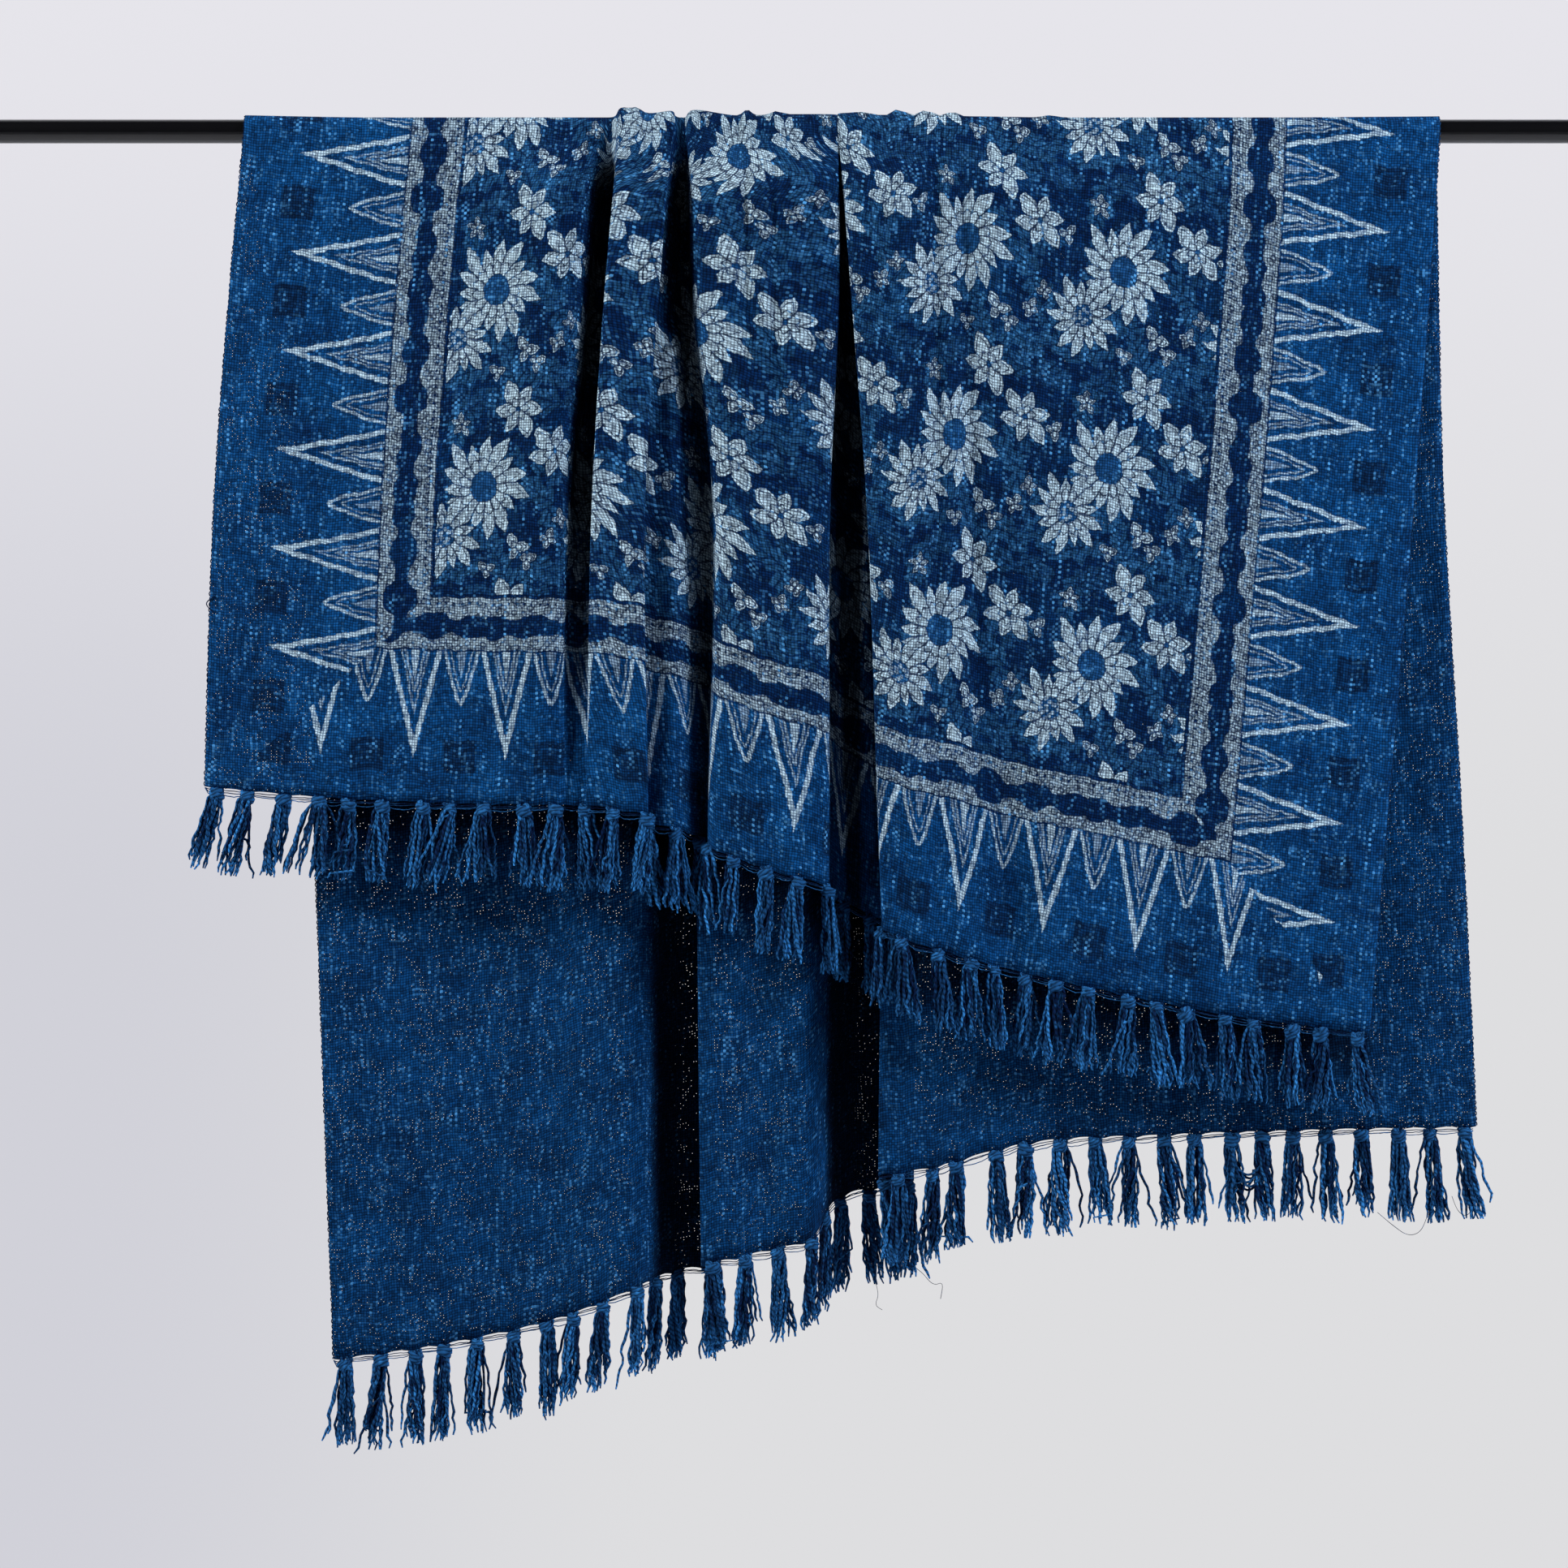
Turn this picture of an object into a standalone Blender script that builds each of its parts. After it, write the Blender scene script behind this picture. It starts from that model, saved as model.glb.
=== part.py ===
# A block-printed throw blanket hung over a plain round rod, with a knotted
# tassel fringe on both short ends. Lengths in the tables are millimetres.
# The origin is the centre of the rod's left end face, +X runs along the rod,
# +Z is up, and the printed side is seen from -Y.

import math

import bmesh
import bpy
import numpy as np
from mathutils import Vector

MM = 0.001

# Rod
ROD_LENGTH = 1524.0
ROD_RADIUS = 11.0
ROD_CHAMFER = 0.8
ROD_SIDES = 32

# Drops below the rod's axis at which the tables give the folds' depth.
HIGH_DROP = 140.0
LOW_DROP = 630.0

# Cloth, cut flat
CLOTH_WIDTH = 1270.0
CLOTH_THICKNESS = 1.5
ROD_GAP = 0.65
WRAP_RADIUS = ROD_RADIUS + ROD_GAP + CLOTH_THICKNESS / 2
CLOTH_COLUMNS = 68
WIDEST_COLUMN = 60.0
BEND_CROWDING = 0.04
BEND_SPREAD = 41
WRAP_STEPS = 8
FRONT_ROWS = (0.02, 0.05, 0.09, 0.14, 0.21, 0.31, 0.43, 0.56, 0.70, 0.85, 1.0)
BACK_ROWS = (0.012, 0.03, 0.055, 0.09, 0.14, 0.21, 0.31, 0.43, 0.56, 0.70, 0.85, 1.0)

# Fold lines of the front flap, from the left selvedge to the right one.
# x_*: distance along the rod at the rod and 140, 330 and 630 below it.
# lift: how far a gather stands off the rod. out_*: how far the cloth stands
# before the rod's axis, high up and low down. hem: drop of the hem there.
# The thread that each line lies on is measured along the section at one drop,
# and the folds reach their full depth at the drop named as settle.
FRONT_COLUMNS = ("x_rod", "x_140", "x_330", "x_630", "lift", "out_high", "out_low", "hem")
FRONT_FOLDS = {
    "left selvedge":     (265, 252, 238, 228, 2, 13, 14, 605),
    "left third":        (373, 361, 347, 337, 0, 15, 13, 615),
    "left two thirds":   (481, 469, 455, 446, 0, 17, 16, 620),
    "left panel edge":   (588, 578, 563, 552, 0, 20, 20, 622),
    "first valley":      (601, 593, 577, 569, 0, 3, 9, 622),
    "first tuck":        (607, 606, 592, 580, 2, 8, 14, 622),
    "first pleat lip":   (612, 599, 587, 582, 9, 36, 30, 622),
    "first pleat":       (637, 623, 611, 610, 4, 38, 38, 626),
    "sharp lip":         (658, 648, 635, 637, 6, 40, 40, 631),
    "under sharp lip":   (661, 643, 629, 631, 2, 22, 20, 635),
    "second valley":     (667, 660, 655, 655, 0, 4, 9, 642),
    "second tuck":       (675, 682, 692, 690, 0, -3, -3, 654),
    "second pleat lip":  (684, 689, 701, 696, 7, 26, 26, 661),
    "second pleat":      (716, 724, 733, 729, 2, 41, 40, 674),
    "second pleat ridge": (764, 771, 780, 775, 3, 46, 44, 688),
    "second pleat edge": (803, 807, 812, 803, 3, 36, 32, 694),
    "deep valley left":  (808, 812, 816, 810, 0, 0, -4, 703),
    "deep valley":       (812, 821, 831, 830, 0, -9, -12, 718),
    "deep valley right": (815, 832, 849, 858, 0, 4, 4, 731),
    "right panel lip":   (818, 826, 839, 850, 4, 36, 38, 736),
    "right panel":       (852, 857, 865, 876, 2, 44, 44, 747),
    "first flower line": (940, 933, 925, 911, 1, 38, 38, 755),
    "between flowers":   (1010, 1003, 992, 979, 0, 33, 33, 774),
    "second flower line": (1084, 1073, 1060, 1035, 0, 28, 26, 785),
    "border line":       (1222, 1213, 1200, 1176, 0, 21, 18, 814),
    "right selvedge":    (1366, 1357, 1343, 1318, 1, 15, 14, 833),
}
FRONT_DROPS = (0.0, 140.0, 330.0, 630.0)
FRONT_MEASURED_AT = 470.0
FRONT_SETTLE = 85.0

# Fold lines of the back flap, read the same way; out is behind the rod's axis.
# At the rod they start where the front's threads leave it.
BACK_COLUMNS = ("x_330", "x_630", "x_930", "out_high", "out_low", "hem")
BACK_FOLDS = {
    "left selvedge":     (314, 326, 337, 13, 12, 1136),
    "left third":        (420, 430, 441, 17, 19, 1122),
    "left two thirds":   (525, 534, 543, 13, 15, 1099),
    "left panel edge":   (620, 627, 630, 10, 12, 1066),
    "first fold wall":   (635, 640, 642, 28, 33, 1062),
    "first fold floor":  (652, 660, 663, 46, 54, 1057),
    "first fold tuck":   (676, 688, 692, 44, 52, 1053),
    "first fold return": (679, 693, 697, 26, 30, 1051),
    "middle panel lip":  (668, 680, 684, 10, 11, 1049),
    "middle panel":      (726, 739, 742, 6, 8, 1035),
    "middle panel edge": (776, 787, 790, 10, 11, 1020),
    "second fold wall":  (793, 801, 803, 32, 35, 997),
    "second fold floor": (810, 820, 823, 56, 61, 986),
    "second fold tuck":  (855, 866, 868, 62, 68, 980),
    "second fold end":   (876, 882, 883, 46, 50, 974),
    "second fold return": (860, 863, 863, 25, 27, 969),
    "right panel lip":   (845, 852, 850, 10, 10, 966),
    "right panel":       (889, 896, 896, 6, 8, 958),
    "right panel third": (968, 975, 979, 11, 13, 937),
    "right panel middle": (1103, 1110, 1118, 14, 18, 928),
    "right border line": (1241, 1253, 1264, 12, 14, 923),
    "right selvedge":    (1373, 1390, 1404, 12, 12, 920),
}
BACK_DROPS = (0.0, 330.0, 630.0, 930.0)
BACK_MEASURED_AT = 800.0
BACK_SETTLE = 230.0

# Small gathers that stand up over the rod and fade out below it:
# x at the rod, height, half width.
GATHERS = {
    "beside first pleat": (626, 3.0, 5),
    "in second pleat":    (728, 5.5, 5),
    "second pleat crest": (755, 3.0, 6),
    "right lip gather":   (834, 2.0, 10),
    "tall gather":        (868, 6.5, 7),
    "wide gather":        (893, 5.5, 8),
    "last gather":        (917, 4.5, 6),
    "stray gather":       (1007, 2.0, 8),
}
GATHER_REACH = 55.0

# Soft troughs pressed into the front flap, across the run of the threads:
# x at the rod and 140 and 630 below it, depth high up and low down, half width.
TROUGHS = {
    "slanting trough": (908, 937, 962, 5, 17, 27),
}

# Fringe
TASSELS = 42
TASSEL_MARGIN = 11.0
TASSEL_JITTER = 4.0
HEM_GAP = 0.8
STRIP_HEIGHT = 4.0
STRIP_THICKNESS = 2.0
CORNER_CLEARANCE = 3.5
ROOT_STEPS = (-4.5, -1.5, 1.5, 4.5)
KNOT_WIDTH = 12.4
KNOT_DEPTH = 9.6
KNOT_MIDDLE = 3.5
NECK_WIDTH = 8.6
NECK_DEPTH = 5.8
KNOT_END = 10.5
EDGE_DEPTH = 0.55
STRAND_WIDTH = 4.0
STRAND_SPREAD = 5.6
STRAND_SWING = 3.0
STRAND_SCATTER = (0.6, 1.5)
STRAND_LENGTHS = (0.94, 1.04)
FRONT_TASSEL = 72.0
BACK_TASSEL = 82.0
FRONT_SEED = 11
BACK_SEED = 23

SHARP_ANGLE = 40.0


def column(table, names, name):
    return np.array([row[names.index(name)] for row in table.values()], float)


def ease(value):
    t = np.clip(value, 0.0, 1.0)
    return t * t * (3.0 - 2.0 * t)


def smooth_curve(keys, values, at):
    # Hermite curve through values (rows, keys), one row for each entry of at;
    # it runs on straight beyond its first and last keys.
    keys = np.asarray(keys, float)
    slopes = np.gradient(values, keys, axis=-1)
    i = np.clip(np.searchsorted(keys, at, side="right") - 1, 0, len(keys) - 2)
    rows = np.arange(len(at))
    span = keys[i + 1] - keys[i]
    t = np.clip((at - keys[i]) / span, 0.0, 1.0)
    p0, p1 = values[rows, i], values[rows, i + 1]
    m0, m1 = slopes[rows, i] * span, slopes[rows, i + 1] * span
    inside = (
        (2 * t**3 - 3 * t**2 + 1) * p0
        + (t**3 - 2 * t**2 + t) * m0
        + (3 * t**2 - 2 * t**3) * p1
        + (t**3 - t**2) * m1
    )
    before = np.minimum(at - keys[0], 0.0) * slopes[:, 0]
    after = np.maximum(at - keys[-1], 0.0) * slopes[:, -1]
    return inside + before + after


def run_along(x, y):
    # Distance along a line of points, from its first one.
    return np.concatenate(([0.0], np.cumsum(np.hypot(np.diff(x), np.diff(y)))))


def tracks_at(drops, tracks, drop):
    # Every fold line's x at each drop: one row for each drop.
    lines = [smooth_curve(drops, np.tile(track, (len(drop), 1)), drop) for track in tracks]
    return np.column_stack(lines)


class Flap:
    # One half of the cloth: fold lines, joined across by a smooth section.
    def __init__(self, drops, tracks, lift, high, low, hem, measured_at, settle):
        self.drops, self.tracks = drops, tracks
        self.lift, self.high, self.low, self.hem = lift, high, low, hem
        self.settle = settle
        x, out = self.lines_at(np.array([measured_at]))
        self.keys = run_along(x[0], out[0])
        self.tau = np.linspace(0.0, self.keys[-1], 4001)
        run = run_along(*self.section(self.tau, np.full(len(self.tau), measured_at)))
        self.run = run * CLOTH_WIDTH / run[-1]

    def lines_at(self, drop):
        x = tracks_at(self.drops, self.tracks, drop)
        fade = np.clip((drop - HIGH_DROP) / (LOW_DROP - HIGH_DROP), 0.0, 1.0)[:, None]
        hanging = self.high + (self.low - self.high) * fade
        near = WRAP_RADIUS + self.lift
        out = near + (hanging - near) * ease(drop / self.settle)[:, None]
        return x, out

    def section(self, tau, drop):
        x, out = self.lines_at(drop)
        return smooth_curve(self.keys, x, tau), smooth_curve(self.keys, out, tau)

    def place(self, thread):
        return np.interp(thread, self.run, self.tau)

    def thread_of_lines(self):
        return np.interp(self.keys, self.tau, self.run)

    def hem_at(self, thread):
        tau = self.place(thread)
        return smooth_curve(self.keys, np.tile(self.hem, (len(tau), 1)), tau)


def make_flaps():
    front = Flap(
        FRONT_DROPS,
        np.array([row[:4] for row in FRONT_FOLDS.values()], float),
        column(FRONT_FOLDS, FRONT_COLUMNS, "lift"),
        column(FRONT_FOLDS, FRONT_COLUMNS, "out_high"),
        column(FRONT_FOLDS, FRONT_COLUMNS, "out_low"),
        column(FRONT_FOLDS, FRONT_COLUMNS, "hem"),
        FRONT_MEASURED_AT,
        FRONT_SETTLE,
    )
    # The back's fold lines are found twice: first by their hanging shape, then
    # joined to the place where the same threads cross the rod.
    hanging = np.array([row[:3] for row in BACK_FOLDS.values()], float)
    start = hanging[:, :1]
    for _ in range(2):
        back = Flap(
            BACK_DROPS,
            np.hstack((start, hanging)),
            np.zeros(len(hanging)),
            column(BACK_FOLDS, BACK_COLUMNS, "out_high"),
            column(BACK_FOLDS, BACK_COLUMNS, "out_low"),
            column(BACK_FOLDS, BACK_COLUMNS, "hem"),
            BACK_MEASURED_AT,
            BACK_SETTLE,
        )
        start = over_rod(front, back.thread_of_lines())[0][:, None]
    return front, back


def over_rod(front, thread):
    # Where each thread crosses the rod, and how far it stands off it.
    tau = front.place(thread)
    x, out = front.section(tau, np.zeros(len(tau)))
    lift = np.maximum(out - WRAP_RADIUS, 0.0)
    for where, height, half_width in GATHERS.values():
        lift = lift + height * np.exp(-(((x - where) / half_width) ** 2))
    return x, lift


def front_point(front, thread, drop):
    tau = front.place(thread)
    x, out = front.section(tau, drop)
    plain_lift = front.section(tau, np.zeros(len(tau)))[1] - WRAP_RADIUS
    gather = over_rod(front, thread)[1] - plain_lift
    out = out + gather * np.exp(-((drop / GATHER_REACH) ** 2))
    drops = (0.0, HIGH_DROP, LOW_DROP)
    for x_rod, x_140, x_630, shallow, deep, half_width in TROUGHS.values():
        lean = (x_630 - x_140) / (LOW_DROP - HIGH_DROP)
        line = np.interp(drop, drops, (x_rod, x_140, x_630))
        line = line + np.maximum(drop - LOW_DROP, 0.0) * lean
        depth = np.interp(drop, drops, (0.0, shallow, deep))
        out = out - depth * np.exp(-(((x - line) / half_width) ** 2))
    return x, -out, -drop


def back_point(front, back, thread, drop):
    tau = back.place(thread)
    x, out = back.section(tau, drop)
    x_rod, lift = over_rod(front, thread)
    start = back.section(tau, np.zeros(len(tau)))[0]
    x = x + (x_rod - start) * (1.0 - ease(drop / BACK_SETTLE))
    out = out + lift * np.exp(-((drop / GATHER_REACH) ** 2))
    return x, out, -drop


def choose_threads(front, back):
    # Columns of the cloth: even ones, drawn together where either flap bends.
    thread = np.linspace(0.0, CLOTH_WIDTH, 2 * int(CLOTH_WIDTH) + 1)
    sections = [front_point(front, thread, np.full(len(thread), drop)) for drop in FRONT_DROPS]
    sections += [
        back_point(front, back, thread, np.full(len(thread), drop)) for drop in BACK_DROPS[1:]
    ]
    bend = np.zeros(len(thread))
    for x, y, _ in sections:
        angle = np.unwrap(np.arctan2(np.gradient(y), np.gradient(x)))
        bend += np.abs(np.gradient(angle, thread))
    spread = np.hanning(BEND_SPREAD)
    bend = np.convolve(bend, spread / spread.sum(), mode="same")
    crowd = 1.0 / WIDEST_COLUMN + BEND_CROWDING * np.sqrt(bend)
    total = np.cumsum(crowd)
    return np.interp(np.linspace(total[0], total[-1], CLOTH_COLUMNS), total, thread)


def cloth_grid(front, back, threads):
    # Points of the cloth's middle surface, a row from front hem to back hem.
    rows = []
    front_hem, back_hem = front.hem_at(threads), back.hem_at(threads)
    for share in reversed(FRONT_ROWS):
        rows.append(front_point(front, threads, front_hem * share))
    x, lift = over_rod(front, threads)
    radius = WRAP_RADIUS + lift
    for step in range(WRAP_STEPS + 1):
        angle = math.pi * step / WRAP_STEPS
        rows.append((x, -radius * math.cos(angle), radius * math.sin(angle)))
    for share in BACK_ROWS:
        rows.append(back_point(front, back, threads, back_hem * share))
    return np.array(rows).transpose(0, 2, 1)


def make_material(name, colour, roughness):
    material = bpy.data.materials.new(name)
    material.use_nodes = True
    surface = material.node_tree.nodes["Principled BSDF"]
    surface.inputs["Base Color"].default_value = (*colour, 1.0)
    surface.inputs["Roughness"].default_value = roughness
    return material


def add_object(name, bm, material):
    # Turns a mesh built in millimetres into an object in metres.
    bmesh.ops.scale(bm, vec=(MM, MM, MM), verts=bm.verts)
    bmesh.ops.recalc_face_normals(bm, faces=bm.faces)
    mesh = bpy.data.meshes.new(name)
    bm.to_mesh(mesh)
    bm.free()
    mesh.shade_smooth()
    mesh.set_sharp_from_angle(angle=math.radians(SHARP_ANGLE))
    mesh.materials.append(material)
    obj = bpy.data.objects.new(name, mesh)
    bpy.context.scene.collection.objects.link(obj)
    return obj


def make_blanket(grid, material):
    # The middle surface as a net of triangles, thickened both ways.
    bm = bmesh.new()
    net = [[bm.verts.new(point) for point in row] for row in grid]
    for r, (upper, lower) in enumerate(zip(net, net[1:])):
        for c in range(len(upper) - 1):
            a, b, d, e = upper[c], upper[c + 1], lower[c], lower[c + 1]
            corners = ((a, b, e), (a, e, d)) if (r + c) % 2 else ((a, b, d), (b, e, d))
            for corner in corners:
                bm.faces.new(corner)
    blanket = add_object("blanket", bm, material)
    solidify = blanket.modifiers.new("cloth thickness", "SOLIDIFY")
    solidify.thickness = CLOTH_THICKNESS * MM
    solidify.offset = 0.0
    return blanket


def hem_points(hem, rng):
    # Places along the hem for the fringe's strip: four for each tassel, and the
    # corners of the cloth's own edge between them. Each is (run, tassel number).
    run = np.concatenate(([0.0], np.cumsum(np.linalg.norm(np.diff(hem, axis=0), axis=1))))
    places = np.linspace(TASSEL_MARGIN, CLOTH_WIDTH - TASSEL_MARGIN, TASSELS)
    places[1:-1] += rng.uniform(-TASSEL_JITTER, TASSEL_JITTER, TASSELS - 2)
    places *= run[-1] / CLOTH_WIDTH
    marks = [(0.0, None), (run[-1], None)]
    for number, place in enumerate(places):
        marks += [(place + step, number) for step in ROOT_STEPS]
    taken = np.array([at for at, _ in marks])
    marks += [(at, None) for at in run[1:-1] if np.abs(taken - at).min() > CORNER_CLEARANCE]
    marks.sort(key=lambda mark: mark[0])
    where = np.array([at for at, _ in marks])
    line = np.column_stack([np.interp(where, run, hem[:, axis]) for axis in range(3)])
    return line, [number for _, number in marks]


def make_strip(bm, line):
    # A narrow strip just under the hem; returns its underside, face by face.
    along = np.column_stack([np.gradient(line[:, axis]) for axis in range(3)])
    level = np.hypot(along[:, 0], along[:, 1])
    side = np.column_stack([along[:, 1] / level, -along[:, 0] / level, 0 * level])
    # The gap is measured square to the hem, so it is deeper where that is steep.
    gap = HEM_GAP * np.hypot(1.0, along[:, 2] / level)
    rings = []
    for point, outwards, below in zip(line, side * STRIP_THICKNESS / 2, gap):
        top = point - (0, 0, below)
        low = top - (0, 0, STRIP_HEIGHT)
        corners = (top + outwards, top - outwards, low - outwards, low + outwards)
        rings.append([bm.verts.new(corner) for corner in corners])
    bm.faces.new(rings[0])
    bm.faces.new(rings[-1])
    underside = []
    for a, b in zip(rings, rings[1:]):
        walls = [bm.faces.new((a[k], b[k], b[k - 3], a[k - 3])) for k in range(4)]
        underside.append(walls[2])
    return underside


def shape_ring(verts, centre, run_way, out_way, width, depth, drop, tilt):
    # Lowers a tassel's ring of points and draws it to a flat-sided oval.
    reach = max(abs((vert.co - centre).dot(run_way)) for vert in verts)
    for vert in verts:
        offset = vert.co - centre
        across = offset.dot(run_way) / reach * width
        edge = 1.0 if abs(across) < width / 2 else EDGE_DEPTH
        out = math.copysign(depth * edge, offset.dot(out_way))
        vert.co = centre + run_way * across + out_way * out
        vert.co.z = centre.z - drop + across * tilt


def make_tassel(bm, roots, tilt, drop, rng):
    # Three faces under the strip grow into a knot, and then into three strands.
    ends = roots[0].calc_center_median(), roots[2].calc_center_median()
    centre = roots[1].calc_center_median()
    run_way = (ends[1] - ends[0]) * Vector((1, 1, 0))
    run_way.normalize()
    out_way = Vector((run_way.y, -run_way.x, 0.0))
    faces = roots
    for width, depth, lower, lean in (
        (KNOT_WIDTH / 2, KNOT_DEPTH / 2, KNOT_MIDDLE, tilt),
        (NECK_WIDTH / 2, NECK_DEPTH / 2, KNOT_END, tilt / 2),
    ):
        grown = bmesh.ops.extrude_face_region(bm, geom=faces)["geom"]
        verts = [item for item in grown if isinstance(item, bmesh.types.BMVert)]
        bmesh.ops.delete(bm, geom=[face for face in faces if face.is_valid], context="FACES_ONLY")
        faces = [item for item in grown if isinstance(item, bmesh.types.BMFace)]
        shape_ring(verts, centre, run_way, out_way, width, depth, lower, lean)
    faces.sort(key=lambda face: face.calc_center_median().dot(run_way))
    swing = rng.uniform(-STRAND_SWING, STRAND_SWING)
    strands = bmesh.ops.extrude_discrete_faces(bm, faces=faces)["faces"]
    strands.sort(key=lambda face: face.calc_center_median().dot(run_way))
    for number, strand in enumerate(strands):
        root = strand.calc_center_median()
        aside = (number - 1) * STRAND_SPREAD + swing
        along, out = rng.uniform(-1.0, 1.0, 2) * STRAND_SCATTER
        end = centre + run_way * (aside + along) + out_way * out
        end.z = centre.z - drop * rng.uniform(*STRAND_LENGTHS)
        for vert in strand.verts:
            offset = vert.co - root
            across = run_way * math.copysign(STRAND_WIDTH / 2, offset.dot(run_way))
            vert.co = end + across + out_way * math.copysign(STRAND_WIDTH / 2, offset.dot(out_way))


def make_fringe(name, hem, drop, seed, material):
    # hem: corners of the cloth's end, from selvedge to selvedge.
    rng = np.random.default_rng(seed)
    line, numbers = hem_points(hem, rng)
    bm = bmesh.new()
    underside = make_strip(bm, line)
    for number in range(TASSELS):
        first = numbers.index(number)
        rise = line[first + 3] - line[first]
        tilt = rise[2] / math.hypot(rise[0], rise[1])
        make_tassel(bm, underside[first : first + 3], tilt, drop, rng)
    return add_object(name, bm, material)


def make_rod(material):
    bm = bmesh.new()
    bmesh.ops.create_cone(
        bm,
        cap_ends=True,
        segments=ROD_SIDES,
        radius1=ROD_RADIUS,
        radius2=ROD_RADIUS,
        depth=ROD_LENGTH,
    )
    rims = [edge for edge in bm.edges if abs(edge.verts[0].co.z - edge.verts[1].co.z) < 1.0]
    bmesh.ops.bevel(bm, geom=rims, offset=ROD_CHAMFER, segments=1, affect="EDGES")
    rod = add_object("rod", bm, material)
    rod.rotation_euler.y = math.pi / 2
    rod.location.x = ROD_LENGTH / 2 * MM
    return rod


def main():
    for obj in list(bpy.data.objects):
        bpy.data.objects.remove(obj)
    front, back = make_flaps()
    threads = choose_threads(front, back)
    grid = cloth_grid(front, back, threads)
    make_blanket(grid, make_material("indigo cotton", (0.010, 0.055, 0.165), 0.9))
    front_yarn = make_material("front tassel yarn", (0.016, 0.075, 0.20), 0.9)
    make_fringe("front_fringe", grid[0], FRONT_TASSEL, FRONT_SEED, front_yarn)
    back_yarn = make_material("back tassel yarn", (0.016, 0.075, 0.20), 0.9)
    make_fringe("back_fringe", grid[-1], BACK_TASSEL, BACK_SEED, back_yarn)
    make_rod(make_material("black painted metal", (0.004, 0.004, 0.005), 0.3))


main()
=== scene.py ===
# A block-printed indigo throw blanket hung over a plain black rod, with a knotted
# tassel fringe on both short ends. Lengths in the dictionaries are millimetres, x
# runs along the rod from its left end, and the objects themselves are in metres.

import math
from functools import partial

import bpy
import numpy as np
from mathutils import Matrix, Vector


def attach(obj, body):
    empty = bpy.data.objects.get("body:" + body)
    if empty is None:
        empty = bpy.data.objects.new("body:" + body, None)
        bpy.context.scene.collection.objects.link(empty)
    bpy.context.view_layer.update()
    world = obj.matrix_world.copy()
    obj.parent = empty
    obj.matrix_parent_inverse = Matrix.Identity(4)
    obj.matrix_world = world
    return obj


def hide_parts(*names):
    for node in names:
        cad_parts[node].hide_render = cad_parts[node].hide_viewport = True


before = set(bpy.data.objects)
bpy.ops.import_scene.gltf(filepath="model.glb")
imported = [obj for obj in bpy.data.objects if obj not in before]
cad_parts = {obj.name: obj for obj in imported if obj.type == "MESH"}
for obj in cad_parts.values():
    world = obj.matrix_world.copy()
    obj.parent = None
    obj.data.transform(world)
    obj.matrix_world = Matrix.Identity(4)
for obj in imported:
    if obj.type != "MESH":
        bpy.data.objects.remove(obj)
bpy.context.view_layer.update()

mm = 0.001
noiseMiddle = (0.5, 0.5, 0.5)


def addNode(tree, kind, *values, inputs=None, **settings):
    # Adds one node, by its kind's name with or without what it begins with: its settings
    # first, then its inputs in order or by name. A socket is linked, None leaves an input
    # as it is, and anything else is set on it. Returns the outputs.
    starts = (tree.bl_idname.removesuffix("Tree"), "ShaderNode", "FunctionNode", "")
    names = (start + kind for start in starts)
    node = tree.nodes.new(next(name for name in names if hasattr(bpy.types, name)))
    for name, value in settings.items():
        setattr(node, name, value)
    given = list(zip(node.inputs, values))
    given += [(node.inputs[name], value) for name, value in (inputs or {}).items()]
    for socket, value in given:
        if isinstance(value, bpy.types.NodeSocket):
            tree.links.new(value, socket)
        elif value is not None:
            socket.default_value = value
    return node.outputs


def addChain(tree, value, *steps):
    # Adds a row of nodes, each taking first what the one before it gives. A string
    # starts a node: "ADD" for Math, "VectorMath ADD" or "MapRange" for another kind. Its
    # other inputs follow.
    starts = [i for i, step in enumerate(steps) if isinstance(step, str)]
    for start, end in zip(starts, starts[1:] + [None]):
        words = steps[start].split()
        settings = {"use_clamp": True} if words[0] == "clamped" else {}
        if words[-1].isupper():
            settings["operation"] = words[-1]
        kind = next((word for word in words if word[0].isupper() and not word.isupper()), "Math")
        value = addNode(tree, kind, value, *steps[start + 1 : end], **settings)[0]
    return value


def toolsFor(tree):
    # The two functions above for one tree.
    return partial(addNode, tree), partial(addChain, tree)


def linear(hexColour):
    # sRGB hex to the linear colour that a shader takes.
    parts = [int(hexColour[i : i + 2], 16) / 255 for i in (1, 3, 5)]
    return tuple(p / 12.92 if p <= 0.04045 else ((p + 0.055) / 1.055) ** 2.4 for p in parts) + (1.0,)


def emptyMaterial(name):
    material = bpy.data.materials.new(name)
    material.use_nodes = True
    material.node_tree.nodes.clear()
    return material, *toolsFor(material.node_tree)


def plainMaterial(name, settings):
    # One even surface, by the shader's own sockets.
    material, add, _ = emptyMaterial(name)
    add("OutputMaterial", add("BsdfPrincipled", inputs=settings)[0])
    return material


def ease(value):
    t = np.clip(value, 0.0, 1.0)
    return t * t * (3.0 - 2.0 * t)


# Camera and stage

camera = {
    "aim": (762, 0, -603),   # middle of the picture, on the rod's plane
    "distance": 4000,
    "pictureWidth": 1449,    # what the picture takes in at the rod
    "sensor": 36,
}

stage = {
    "floor": -2300,
    "wall": 6500,            # radius of the round room, well behind the camera
    "sweep": 2000,           # radius of the curve between floor and wall
    "eaves": 3000,
    "ceiling": 7000,
    "sides": 72,
    "upper": "#E6E5EB",      # of the paper: high up, low on the right and low on the left
    "lowRight": "#DEDEE0",
    "lowLeft": "#D1D1D9",
    "fadeLow": -1.0,         # metres, where the paper's upper colour ends and begins
    "fadeHigh": 1.4,
    "fadeLeft": -0.9,
    "fadeRight": 0.6,
}

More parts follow.
